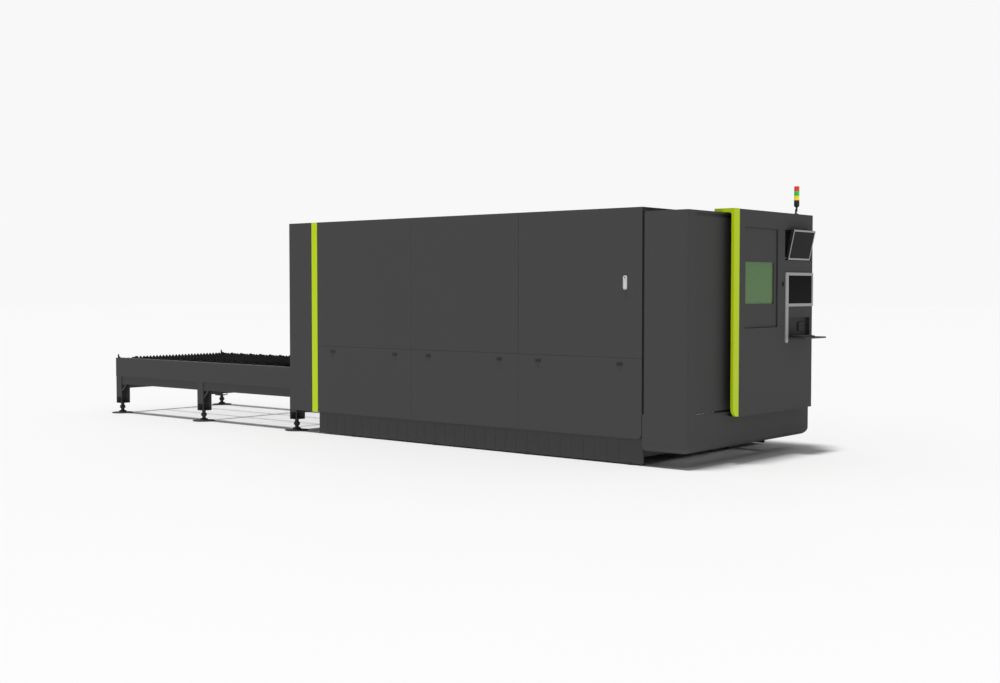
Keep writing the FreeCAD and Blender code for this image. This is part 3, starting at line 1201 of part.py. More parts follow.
def monitor():
    """Monitor that leans out of its niche on a pivot bar at its lower edge."""
    low, back = "-12", "-10"
    housing = block("monitor_housing", ("monitorthick", "monitorwidth", "monitorheight"), (back, "monitornear", low))
    bore = rod("monitor_bore", "pivotradius+pivotplay", "monitorwidth+20", ("0", "monitornear-10", "0"), "y")
    glass_size = ("3", "monitorwidth-2*bezel", "monitorheight-2*bezel")
    glass_at = (f"{back}+monitorthick-3", "monitornear+bezel", f"{low}+bezel")
    pocket = block("monitor_glass_pocket", glass_size, glass_at)
    glass = block("monitor_glass", glass_size, glass_at)
    shell = cut("monitor_shell", housing, bore, pocket)
    node("monitor", tilted("monitor_leaned", [shell], (0, 1, 0), "monitortilt", MONITOR_PIVOT))
    node("monitor_screen", tilted("monitor_screen_leaned", [glass], (0, 1, 0), "monitortilt", MONITOR_PIVOT))
    bar = rod("pivot_bar", "pivotradius", "nichewidth", (MONITOR_PIVOT[0], "nichenear", MONITOR_PIVOT[2]), "y")
    return node("monitor_pivot_bar", bar)


def keyboard_tray():
    """Fold-up tray on a pin at the foot of the keyboard niche."""
    low_y, wide = "shelfnear+4", "shelfwidth-8"
    leaf = pan("tray_leaf", ("trayreach", wide, "traythick"), (TRAY_PIVOT_X, low_y, f"{TRAY_PIVOT_Z}-6"), "-z", "2")
    barrel = rod("tray_barrel", "barrel", wide, (TRAY_PIVOT_X, low_y, TRAY_PIVOT_Z), "y")
    bore = rod("tray_bore", "traypin+pivotplay", "shelfwidth", (TRAY_PIVOT_X, "shelfnear", TRAY_PIVOT_Z), "y")
    node("keyboard_tray", cut("tray", fuse("tray_body", leaf, barrel), bore))
    pin = rod("tray_pin", "traypin", "shelfwidth", (TRAY_PIVOT_X, "shelfnear", TRAY_PIVOT_Z), "y")
    node("keyboard_tray_pin", pin)
    keys = block("keyboard_case", ("keyboarddepth", "keyboardwidth", "keyboardthick"),
                 (f"{TRAY_PIVOT_X}+35", "shelfnear+14", f"{TRAY_PIVOT_Z}-6+traythick"))
    node("keyboard", keys)
    size = ("pendantthick", "pendantwidth", "pendantheight")
    at = ("modulefront-shelfdepth", "shelfnear+shelfwidth-60-pendantwidth", "shelfbottom+78")
    return node("pendant", block("pendant_case", size, at))


# --------------------------------------------------------- signal tower

def signal_tower():
    x = "(modulefront-37)"
    ear = "8"
    flange = rod("tower_flange", "22", "8", (x, "towerside", "moduletop"))
    stub = rod("tower_stub", "poleradius", "towerpivot-moduletop-8", (x, "towerside", "moduletop+8"))
    fixed_ear = block("tower_fixed_ear", ("2*poleradius", ear, "22"), (f"{x}-poleradius", "towerside", "towerpivot-10"))
    pin = rod("tower_pin", "3", "2*8+3", (x, "towerside", "towerpivot"), "y")
    clear = block("tower_ear_clearance", ("60", "40", "60"), (f"{x}-30", f"towerside+{ear}+pivotplay", "towerpivot-14"))
    post = cut("tower_post", fuse("tower_post_body", flange, stub, fixed_ear), clear)
    node("tower_mount", fuse("tower_post_pinned", post, pin))

    pole_y = f"towerside+2*{ear}+pivotplay-2"
    pole = rod("tower_pole", "poleradius", "towerfoot-towerpivot-16", (x, pole_y, "towerpivot+16"))
    moving_ear = block("tower_moving_ear", ("2*poleradius", ear, "28"),
                       (f"{x}-poleradius", f"towerside+{ear}+2*pivotplay", "towerpivot-10"))
    bore = rod("tower_bore", "3+pivotplay", "60", (x, "towerside", "towerpivot"), "y")
    taper = cone("tower_taper", "poleradius+3", "towerradius", "14", (x, pole_y, "towerfoot-14"))
    housing = rod("tower_housing", "towerradius", "yellowbottom-towerfoot", (x, pole_y, "towerfoot"))
    node("tower_base", cut("tower_lower", fuse("tower_lower_body", pole, moving_ear, taper, housing), bore))
    for colour, low, high in (("yellow", "yellowbottom", "greenbottom"), ("green", "greenbottom", "redbottom")):
        node(f"tower_{colour}", rod(f"{colour}_lens", "towerradius", f"{high}-{low}", (x, pole_y, low)))
    tall = "(towertop-redbottom)"
    dome = turned("red_lens", [("0", "0"), ("towerradius", "0"), ("towerradius", f"{tall}-8"),
                               ("towerradius-3", f"{tall}-3"), ("towerradius-9", tall), ("0", tall)],
                  (x, pole_y, "redbottom"))
    return node("tower_red", dome)


# ---------------------------------------------------- inner equipment

def inner_equipment():
    """Control cabinet, laser source and fume duct in the far side compartment."""
    far_y = "enclosurewidth-plinthsetback-plinthdepth"
    cabinet = pan("cabinet_shell", ("800", "380", "1700"), ("-3700", f"{far_y}-380", "0"), "+y", "2")
    back = block("cabinet_plate", ("760", "3", "1600"), ("-3680", f"{far_y}-360", "40"))
    lid = block("cabinet_door", ("796", "2", "1696"), ("-3698", f"{far_y}-2", "2"))
    standoffs = block("cabinet_standoff", ("40", "20", "40"), ("-3320", f"{far_y}-378", "900"))
    node("control_cabinet", cabinet, fuse("mounting_plate", back, standoffs), lid)
    rack = pan("source_shell", ("620", "380", "820"), ("-2400", f"{far_y}-380", "0"), "+y", "2")
    face = block("source_front", ("616", "4", "816"), ("-2398", f"{far_y}-4", "2"))
    node("laser_source", rack, face)
    start = "(-coverlength-86)"
    run = tube("duct_run", ("3900", "90", "190"), (start, "portalfar", "coverbottom+10"), "x", "2")
    plenum = pan("duct_plenum", (f"{start}-{PORTAL_REAR}-pandepth", "480", "560"),
                 (f"{PORTAL_REAR}+pandepth", "portalfar", "coverbottom+10"), "+x", "2")
    spigot = rod("spigot_outside", "spigotradius", "54+pandepth", (f"{PORTAL_REAR}-54", SPIGOT_Y, SPIGOT_Z), "x")
    bore = rod("spigot_bore", "spigotradius-2", "120", (f"{PORTAL_REAR}-70", SPIGOT_Y, SPIGOT_Z), "x")
    return node("fume_duct", run, cut("plenum_and_spigot", fuse("plenum_body", plenum, spigot), bore))


# ---------------------------------------------------------- assembly

frame_parts = enclosure_frame()
bed_frame()
levelling_feet()
scrap_trays()
x_axis_rails()
gantry_beam()
end_carriages()
x_drive_motors()
y_axis_rails()
cross_carriage()
z_slide()
cutting_head()
pallets()
table_frame()
base_plinths()
near_upper_panels()
far_panels()
roof_panels()
side_door(frame_parts)
side_door_lock()
lower_doors(frame_parts)
door_latches()
rear_portal()
portal_strips()
front_end_shell()
front_skirt()
sliding_door()
sliding_door_tracks()
module_shell()
module_recesses(viewing_hatch())
module_trim()
hatch_lock()
screen_frame()
monitor()
keyboard_tray()
signal_tower()
inner_equipment()
node("enclosure_frame", *frame_parts)
doc.recompute()

faults = [obj.Name for obj in doc.Objects if "Invalid" in obj.State or "Error" in obj.State]
if faults:
    raise RuntimeError("features that failed: " + ", ".join(faults))
for part in NODES:
    if part.Shape.isNull() or not part.Shape.isValid() or not part.Shape.Solids:
        raise RuntimeError("bad shape: " + part.Label)

os.makedirs("parts", exist_ok=True)
for part in NODES:
    part.Shape.exportStep(f"parts/{part.Label}.step")
print(len(NODES), "nodes,", sum(len(part.Shape.Solids) for part in NODES), "solids")
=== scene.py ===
"""Looks of the fiber laser cutting machine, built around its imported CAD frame."""

import math

import bmesh
import bpy
from mathutils import Matrix, Vector


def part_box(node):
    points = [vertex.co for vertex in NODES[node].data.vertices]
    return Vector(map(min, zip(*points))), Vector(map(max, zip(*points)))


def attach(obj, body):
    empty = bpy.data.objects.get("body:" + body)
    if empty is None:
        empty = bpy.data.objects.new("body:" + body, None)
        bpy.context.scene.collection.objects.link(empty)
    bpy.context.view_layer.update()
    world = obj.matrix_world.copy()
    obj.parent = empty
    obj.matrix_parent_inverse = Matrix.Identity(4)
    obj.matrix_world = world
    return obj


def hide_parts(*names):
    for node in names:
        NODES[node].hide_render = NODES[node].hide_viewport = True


bl_info = {
    "name": "Laser cutting machine finisher",
    "version": (1, 0, 0),
    "blender": (4, 5, 0),
    "location": "3D View > Sidebar > Machine",
    "description": "Paints the sheet laser cutter and builds its console, lamp and lock details",
    "category": "Object",
}

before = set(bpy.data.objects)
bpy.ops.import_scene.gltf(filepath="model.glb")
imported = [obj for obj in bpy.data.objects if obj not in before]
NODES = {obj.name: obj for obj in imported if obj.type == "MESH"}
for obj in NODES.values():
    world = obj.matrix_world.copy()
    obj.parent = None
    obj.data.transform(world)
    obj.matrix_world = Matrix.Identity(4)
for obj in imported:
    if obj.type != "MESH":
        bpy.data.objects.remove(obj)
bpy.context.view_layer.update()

# Surface values that several finishes share
PAINT_GRAIN = 420.0
PAINT_DEPTH = 0.0004
SKIN_DEPTH = 0.0003
DUST_COLOUR = (0.30, 0.29, 0.27, 1)
SCALE_COLOUR = (0.028, 0.027, 0.026, 1)
SCORCH_COLOUR = (0.06, 0.042, 0.03, 1)
GLASS_DEEP = (0.083, 0.180, 0.064, 1)
GLASS_FILM = (0.205, 0.350, 0.160, 1)
LAMP_GLOW = 0.35

# The monitor's front leans by this much, and counts as its face above this cosine
MONITOR_LEAN = math.radians(12.5)
FACE_COSINE = 0.97

# Sizes of the built details, in metres
KEYBOARD_ROUND = 0.003
KEYBOARD_BORDER = 0.012
KEY_HEIGHT = 0.005
KEY_STAND = 0.004
KEY_ROUND = 0.0012
SPACE_BAR_COLUMN = 4
SPACE_BAR_KEYS = 6

PENDANT_ROUND = 0.005
BUTTON_ROWS = 3
BUTTON_COLUMNS = 5
BUTTON_RADIUS = 0.006
BUTTON_DEPTH = 0.004
BUTTON_STAND = 0.003
BUTTON_ROUND = 0.001
BUTTON_START = (0.018, 0.016)
BUTTON_PITCH = (0.021, 0.018)

LENS_BAND = 0.002
LENS_RIM = 0.001
LENS_DOME = 0.010
DOME_SHOULDER = (0.002, 0.005)
DOME_SHELF = (0.008, 0.001)
DOME_FLAT = 0.3
RIB_SHAPE = (0.25, 0.6, 0.85)

KEYHOLE_RADIUS = 0.0072
KEYHOLE_DEPTH = 0.002
KEYHOLE_DROP = 0.016
KEYHOLE_SINK = 0.0005
KEYHOLE_ROUND = 0.0005

LATCH_LENGTH = 0.062
LATCH_RIDGES = 5
RIDGE_START = 0.017
RIDGE_PITCH = 0.007
RIDGE_WIDTH = 0.003
RIDGE_INSET = 0.005
RIDGE_STAND = 0.0009
RIDGE_SINK = 0.001
RIDGE_ROUND = 0.0008

RAIL_HALF_WIDTH = 0.009
RAIL_SCREWS = 44
RAIL_SCREW_START = 0.06
RAIL_SCREW_PITCH = 0.1
RAIL_CAP_RADIUS = 0.006
RAIL_CAP_DEPTH = 0.0006
RAIL_CAP_LIFT = 0.0002

ROLLER_LENGTH = 0.012
ROLLER_INSET = 0.004
ROLLER_START = 0.02
ROLLER_GAP = 0.002
ROLLER_ROUND = 0.0008

# Stage
FLOOR_HALF_SIDE = 120
SUN_DIRECTION = (0.05, 0.10, -0.99)
CAMERA_PLACE = (10.367, -11.088, 1.595)
SENSOR_WIDTH = 36.0
CAMERA_REACH = 500.0


# ------------------------------------------------------------------ settings

def colour_property(name, description, default):
    """Colour that the panel can set."""
    return bpy.props.FloatVectorProperty(name=name, description=description, default=default,
                                         min=0.0, max=1.0, size=3, subtype="COLOR")


def length_property(name, description, default):
    """Length in metres that the panel can set."""
    return bpy.props.FloatProperty(name=name, description=description, default=default,
                                   min=0.0005, max=0.5, subtype="DISTANCE", unit="LENGTH")


def count_property(name, description, default, least):
    """Number of repeated details that the panel can set."""
    return bpy.props.IntProperty(name=name, description=description, default=default,
                                 min=least, max=40)


class PaintSettings(bpy.types.PropertyGroup):
    """Colours of the painted and moulded parts."""

    cover: colour_property("Cover grey", "Powder coat of the covers and the operator module",
                           (0.0790, 0.0790, 0.0797))
    plinth: colour_property("Plinth grey", "Darker powder coat of the base plinth",
                            (0.064, 0.064, 0.0646))
    lime: colour_property("Lime", "Accent paint of the strips and the trim", (0.64, 0.84, 0.005))
    machine: colour_property("Machine grey", "Paint of the bed and the gantry", (0.12, 0.125, 0.13))
    white: colour_property("White", "Light plastic of the frame and the lock", (0.80, 0.80, 0.79))
    cabinet: colour_property("Cabinet", "Light paint of the control cabinet", (0.55, 0.56, 0.55))


class DetailSettings(bpy.types.PropertyGroup):
    """Sizes of the small details."""

    key_size: length_property("Key size", "Side of a keycap", 0.0125)
    key_pitch: length_property("Key pitch", "Distance from one key to the next", 0.0148)
    lens_rib: length_property("Lens rib", "Depth of the ribs on the signal lenses", 0.0008)
    lens_ribs: count_property("Lens ribs", "Ribs on each signal lens", 9, least=3)
    roller_radius: length_property("Roller radius", "Radius of a roller under the sliding door",
                                   0.006)
    roller_pitch: length_property("Roller pitch", "Distance from one roller to the next", 0.042)
    rollers: count_property("Rollers", "Rollers under the sliding door", 8, least=2)


class StageSettings(bpy.types.PropertyGroup):
    """Camera and light."""

    lens: bpy.props.FloatProperty(name="Lens", description="Focal length on a 36 mm wide sensor",
                                  default=47.33, min=10, max=300, subtype="DISTANCE_CAMERA")
    yaw: bpy.props.FloatProperty(name="Yaw", description="Turn of the camera about the vertical",
                                 default=math.radians(39.76), subtype="ANGLE", unit="ROTATION")
    pitch: bpy.props.FloatProperty(name="Pitch", description="Downward tilt of the camera",
                                   default=math.radians(2.22), subtype="ANGLE", unit="ROTATION")
    floor: colour_property("Floor", "Colour of the studio floor", (0.90, 0.90, 0.90))
    backdrop: bpy.props.FloatProperty(name="Backdrop",
                                      description="Brightness of the surround as seen",
                                      default=0.939, min=0.0, max=10.0, unit="NONE")
    ambient: bpy.props.FloatProperty(name="Ambient",
                                     description="Strength of the light from all round",
                                     default=0.33, min=0.0, max=10.0, unit="NONE")
    sun: bpy.props.FloatProperty(name="Sun", description="Strength of the high key light",
                                 default=2.50, min=0.0, max=20.0, unit="NONE")
    softness: bpy.props.FloatProperty(name="Softness",
                                      description="Apparent width of the key light",
                                      default=math.radians(9), subtype="ANGLE", unit="ROTATION")


# ------------------------------------------------------------- node groups

def new_group(name, inputs, outputs):
    """Empty shader node group with its sockets."""
    group = bpy.data.node_groups.new(name, "ShaderNodeTree")
    for label, kind, value in inputs:
        socket = group.interface.new_socket(label, in_out="INPUT", socket_type=kind)
        socket.default_value = value
    for label, kind in outputs:
        group.interface.new_socket(label, in_out="OUTPUT", socket_type=kind)
    return group, group.nodes.new("NodeGroupInput"), group.nodes.new("NodeGroupOutput")


def add(tree, kind, **values):
    """Node with attributes or input defaults set by name."""
    node = tree.nodes.new(kind)
    for key, value in values.items():
        if key in node.inputs:
            node.inputs[key].default_value = value
        else:
            setattr(node, key, value)
    return node


def maths(tree, operation, first, second, clamp=False):
    """Math node on two numbers or sockets."""
    node = tree.nodes.new("ShaderNodeMath")
    node.operation = operation
    node.use_clamp = clamp
    for index, value in enumerate((first, second)):
        if isinstance(value, (int, float)):
            node.inputs[index].default_value = value
        else:
            tree.links.new(value, node.inputs[index])
    return node.outputs[0]


def blend(tree, factor, first, second):
    """Mix of two colours, each a socket or a fixed colour."""
    mix = tree.nodes.new("ShaderNodeMix")
    mix.data_type = "RGBA"
    tree.links.new(factor, mix.inputs["Factor"])
    for name, value in (("A", first), ("B", second)):
        if isinstance(value, tuple):
            mix.inputs[name].default_value = value
        else:
            tree.links.new(value, mix.inputs[name])
    return mix.outputs["Result"]


def ramp(tree, factor, stops):
    """Colour ramp between two stops of position and colour."""
    node = tree.nodes.new("ShaderNodeValToRGB")
    for element, (position, colour) in zip(node.color_ramp.elements, stops):
        element.position = position
        element.color = colour
    tree.links.new(factor, node.inputs["Fac"])
    return node.outputs["Color"]


def coat_group():
    """Powder coat: fine orange-peel height and soft large variation in colour and gloss."""
    group, source, out = new_group("powder_coat", [
        ("Colour", "NodeSocketColor", (0.1, 0.1, 0.1, 1)),
        ("Grain", "NodeSocketFloat", PAINT_GRAIN),
        ("Variation", "NodeSocketFloat", 0.06), ("Roughness", "NodeSocketFloat", 0.5)],
        [("Colour", "NodeSocketColor"), ("Roughness", "NodeSocketFloat"),
         ("Height", "NodeSocketFloat")])
    place = add(group, "ShaderNodeTexCoord").outputs["Object"]
    fine = add(group, "ShaderNodeTexNoise", Detail=3.0, Roughness=0.6)
    group.links.new(place, fine.inputs["Vector"])
    group.links.new(source.outputs["Grain"], fine.inputs["Scale"])
    broad = add(group, "ShaderNodeTexNoise", Scale=1.3, Detail=4.0, Roughness=0.55)
    group.links.new(place, broad.inputs["Vector"])
    shift = maths(group, "SUBTRACT", broad.outputs["Fac"], 0.5)
    change = maths(group, "MULTIPLY", shift, source.outputs["Variation"])
    value = maths(group, "ADD", change, 1.0)
    speckle = maths(group, "SUBTRACT", fine.outputs["Fac"], 0.5)
    value = maths(group, "ADD", value, maths(group, "MULTIPLY", speckle, 0.10))
    tint = group.nodes.new("ShaderNodeVectorMath")
    tint.operation = "SCALE"
    group.links.new(source.outputs["Colour"], tint.inputs[0])
    group.links.new(value, tint.inputs["Scale"])
    gloss = maths(group, "ADD", source.outputs["Roughness"],
                  maths(group, "MULTIPLY", shift, 0.12), clamp=True)
    group.links.new(tint.outputs[0], out.inputs["Colour"])
    group.links.new(gloss, out.inputs["Roughness"])
    group.links.new(fine.outputs["Fac"], out.inputs["Height"])
    return group


def dust_group():
    """Dust that settles on faces that look up, thinned by a noise."""
    group, source, out = new_group("settled_dust", [
        ("Colour", "NodeSocketColor", (0.1, 0.1, 0.1, 1)), ("Amount", "NodeSocketFloat", 0.2)],
        [("Colour", "NodeSocketColor"), ("Mask", "NodeSocketFloat")])
    normal = add(group, "ShaderNodeNewGeometry").outputs["Normal"]
    split = group.nodes.new("ShaderNodeSeparateXYZ")
    group.links.new(normal, split.inputs[0])
    up = maths(group, "POWER", maths(group, "MAXIMUM", split.outputs["Z"], 0.0), 3.0)
    noise = add(group, "ShaderNodeTexNoise", Scale=7.0, Detail=6.0, Roughness=0.65)
    group.links.new(add(group, "ShaderNodeTexCoord").outputs["Object"], noise.inputs["Vector"])
    patch = maths(group, "MULTIPLY", up, maths(group, "ADD", noise.outputs["Fac"], 0.2))
    mask = maths(group, "MULTIPLY", patch, source.outputs["Amount"], clamp=True)
    dusty = blend(group, mask, source.outputs["Colour"], DUST_COLOUR)
    group.links.new(dusty, out.inputs["Colour"])
    group.links.new(mask, out.inputs["Mask"])
    return group


def wear_group():
    """Lighter, scuffed edges: where a rounded normal leaves the true one."""
    group, source, out = new_group("edge_wear", [
        ("Colour", "NodeSocketColor", (0.1, 0.1, 0.1, 1)),
        ("Worn", "NodeSocketColor", (0.3, 0.3, 0.3, 1)),
        ("Amount", "NodeSocketFloat", 0.4), ("Width", "NodeSocketFloat", 0.0015)],
        [("Colour", "NodeSocketColor"), ("Mask", "NodeSocketFloat")])
    soft = add(group, "ShaderNodeBevel", samples=4)
    group.links.new(source.outputs["Width"], soft.inputs["Radius"])
    dot = group.nodes.new("ShaderNodeVectorMath")
    dot.operation = "DOT_PRODUCT"
    group.links.new(soft.outputs["Normal"], dot.inputs[0])
    group.links.new(add(group, "ShaderNodeNewGeometry").outputs["Normal"], dot.inputs[1])
    leaving = maths(group, "SUBTRACT", 1.0, dot.outputs["Value"])
    edge = maths(group, "MULTIPLY", leaving, 3.0, clamp=True)
    noise = add(group, "ShaderNodeTexNoise", Scale=18.0, Detail=5.0)
    group.links.new(add(group, "ShaderNodeTexCoord").outputs["Object"], noise.inputs["Vector"])
    broken = maths(group, "MULTIPLY", edge, noise.outputs["Fac"])
    mask = maths(group, "MULTIPLY", broken, source.outputs["Amount"], clamp=True)
    scuffed = blend(group, mask, source.outputs["Colour"], source.outputs["Worn"])
    group.links.new(scuffed, out.inputs["Colour"])
    group.links.new(mask, out.inputs["Mask"])
    return group


def brushed_group():
    """Metal with fine lines along one axis, and mild stains."""
    group, source, out = new_group("brushed_lines", [
        ("Colour", "NodeSocketColor", (0.5, 0.5, 0.5, 1)),
        ("Stretch", "NodeSocketVector", (2.0, 300.0, 300.0)),
        ("Stain", "NodeSocketFloat", 0.3), ("Roughness", "NodeSocketFloat", 0.35)],
        [("Colour", "NodeSocketColor"), ("Roughness", "NodeSocketFloat"),
         ("Height", "NodeSocketFloat")])
    place = add(group, "ShaderNodeTexCoord").outputs["Object"]
    scale = group.nodes.new("ShaderNodeVectorMath")
    scale.operation = "MULTIPLY"
    group.links.new(place, scale.inputs[0])
    group.links.new(source.outputs["Stretch"], scale.inputs[1])
    lines = add(group, "ShaderNodeTexNoise", Scale=1.0, Detail=2.0)
    group.links.new(scale.outputs[0], lines.inputs["Vector"])
    stain = add(group, "ShaderNodeTexNoise", Scale=6.0, Detail=6.0, Roughness=0.65)
    group.links.new(place, stain.inputs["Vector"])
    spots = maths(group, "SUBTRACT", stain.outputs["Fac"], 0.35)
    dark = maths(group, "MULTIPLY", spots, source.outputs["Stain"])
    streak = maths(group, "SUBTRACT", lines.outputs["Fac"], 0.5)
    value = maths(group, "SUBTRACT", 1.0, dark)
    value = maths(group, "ADD", value, maths(group, "MULTIPLY", streak, 0.25))
    tint = group.nodes.new("ShaderNodeVectorMath")
    tint.operation = "SCALE"
    group.links.new(source.outputs["Colour"], tint.inputs[0])
    group.links.new(value, tint.inputs["Scale"])
    rough = maths(group, "ADD", source.outputs["Roughness"],
                  maths(group, "MULTIPLY", streak, 0.2), clamp=True)
    group.links.new(tint.outputs[0], out.inputs["Colour"])
    group.links.new(rough, out.inputs["Roughness"])
    group.links.new(lines.outputs["Fac"], out.inputs["Height"])
    return group


GROUPS = {}


def group_node(tree, key, **values):
    """A shared group placed in a material with its own values."""
    makers = {"coat": coat_group, "dust": dust_group, "wear": wear_group, "brushed": brushed_group}
    if key not in GROUPS:
        GROUPS[key] = makers[key]()
    node = tree.nodes.new("ShaderNodeGroup")
    node.node_tree = GROUPS[key]
    for name, value in values.items():
        node.inputs[name].default_value = value
    return node


# ---------------------------------------------------------------- materials

MATERIALS = {}


def start_material(name):
    """New material, with its node tree and its shader."""
    material = bpy.data.materials.new(name)
    material.use_nodes = True
    MATERIALS[name] = material
    return material.node_tree, material.node_tree.nodes["Principled BSDF"]


def bump(tree, shader, height, strength, distance):
    """Relief from a height, without moving the surface."""
    node = add(tree, "ShaderNodeBump", Strength=strength, Distance=distance)
    tree.links.new(height, node.inputs["Height"])
    tree.links.new(node.outputs["Normal"], shader.inputs["Normal"])


def painted(name, colour, roughness, dust, worn=None, variation=0.06, specular=0.5):
    """Powder coat or machine paint."""
    tree, shader = start_material(name)
    bare = worn or [min(1, part * 2.2 + 0.02) for part in colour]
    coat = group_node(tree, "coat", Colour=(*colour, 1), Grain=PAINT_GRAIN, Variation=variation,
                      Roughness=roughness)
    wear = group_node(tree, "wear", Amount=0.5, Worn=(*bare, 1))
    dirt = group_node(tree, "dust", Amount=dust)
    tree.links.new(coat.outputs["Colour"], wear.inputs["Colour"])
    tree.links.new(wear.outputs["Colour"], dirt.inputs["Colour"])
    tree.links.new(dirt.outputs["Colour"], shader.inputs["Base Color"])
    tree.links.new(coat.outputs["Roughness"], shader.inputs["Roughness"])
    shader.inputs["Specular IOR Level"].default_value = specular
    bump(tree, shader, coat.outputs["Height"], 0.12, PAINT_DEPTH)


def moulded(name, colour, roughness, grain=900.0, coat_weight=0.0, emission=None):
    """Moulded plastic or rubber with a fine spark-eroded texture."""
    tree, shader = start_material(name)
    skin = group_node(tree, "coat", Colour=(*colour, 1), Grain=grain, Variation=0.03,
                      Roughness=roughness)
    tree.links.new(skin.outputs["Colour"], shader.inputs["Base Color"])
    tree.links.new(skin.outputs["Roughness"], shader.inputs["Roughness"])
    shader.inputs["Specular IOR Level"].default_value = 0.5
    shader.inputs["Coat Weight"].default_value = coat_weight
    if emission:
        shader.inputs["Emission Color"].default_value = (*colour, 1)
        shader.inputs["Emission Strength"].default_value = emission
    bump(tree, shader, skin.outputs["Height"], 0.08, SKIN_DEPTH)


def metal(name, colour, roughness, stretch=(2.0, 300.0, 300.0), stain=0.3):
    """Ground, brushed or rolled metal."""
    tree, shader = start_material(name)
    lines = group_node(tree, "brushed", Colour=(*colour, 1), Stretch=stretch, Stain=stain,
                       Roughness=roughness)
    tree.links.new(lines.outputs["Colour"], shader.inputs["Base Color"])
    tree.links.new(lines.outputs["Roughness"], shader.inputs["Roughness"])
    shader.inputs["Metallic"].default_value = 1.0
    bump(tree, shader, lines.outputs["Height"], 0.1, SKIN_DEPTH)


def slat_metal(name):
    """Mill scale with brighter, rust coloured scorch marks."""
    tree, shader = start_material(name)
    scale = group_node(tree, "brushed", Colour=SCALE_COLOUR, Stretch=(40.0, 9.0, 40.0),
                       Stain=0.8, Roughness=0.55)
    place = add(tree, "ShaderNodeTexCoord").outputs["Object"]
    burn = add(tree, "ShaderNodeTexNoise", Scale=24.0, Detail=6.0, Roughness=0.7)
    tree.links.new(place, burn.inputs["Vector"])
    mask = ramp(tree, burn.outputs["Fac"], [(0.55, (0, 0, 0, 1)), (0.75, (1, 1, 1, 1))])
    marked = blend(tree, mask, scale.outputs["Colour"], SCORCH_COLOUR)
    tree.links.new(marked, shader.inputs["Base Color"])
    tree.links.new(scale.outputs["Roughness"], shader.inputs["Roughness"])
    shader.inputs["Metallic"].default_value = 0.4
    bump(tree, shader, burn.outputs["Fac"], 0.3, 0.001)


def safety_glass(name):
    """Green laser safety acrylic with a faint mottled film."""
    tree, shader = start_material(name)
    place = add(tree, "ShaderNodeTexCoord").outputs["Object"]
    cloud = add(tree, "ShaderNodeTexNoise", Scale=55.0, Detail=5.0, Roughness=0.7)
    tree.links.new(place, cloud.inputs["Vector"])
    green = blend(tree, cloud.outputs["Fac"], GLASS_DEEP, GLASS_FILM)
    tree.links.new(green, shader.inputs["Base Color"])
    shader.inputs["Roughness"].default_value = 0.18
    shader.inputs["Alpha"].default_value = 0.93
    shader.inputs["Specular IOR Level"].default_value = 0.2


def screen(name, colour):
    """Dark display glass with a trace of smudges."""
    tree, shader = start_material(name)
    place = add(tree, "ShaderNodeTexCoord").outputs["Object"]
    smudge = add(tree, "ShaderNodeTexNoise", Scale=14.0, Detail=6.0, Roughness=0.7)
    tree.links.new(place, smudge.inputs["Vector"])
    rough = maths(tree, "ADD", maths(tree, "MULTIPLY", smudge.outputs["Fac"], 0.16), 0.10)
    tree.links.new(rough, shader.inputs["Roughness"])
    shader.inputs["Base Color"].default_value = (*colour, 1)
    shader.inputs["Specular IOR Level"].default_value = 0.03


def bezelled_case(name, case, bezel, lean):
    """Dark moulded case whose leaning front face is light."""
    tree, shader = start_material(name)
    skin = group_node(tree, "coat", Colour=(*case, 1), Grain=900.0, Variation=0.03, Roughness=0.5)
    facing = tree.nodes.new("ShaderNodeVectorMath")
    facing.operation = "DOT_PRODUCT"
    tree.links.new(add(tree, "ShaderNodeTexCoord").outputs["Normal"], facing.inputs[0])
    facing.inputs[1].default_value = (math.cos(lean), 0, -math.sin(lean))
    front = maths(tree, "GREATER_THAN", facing.outputs["Value"], FACE_COSINE)
    case_colour = blend(tree, front, skin.outputs["Colour"], (*bezel, 1))
    tree.links.new(case_colour, shader.inputs["Base Color"])
    tree.links.new(skin.outputs["Roughness"], shader.inputs["Roughness"])
    bump(tree, shader, skin.outputs["Height"], 0.08, SKIN_DEPTH)


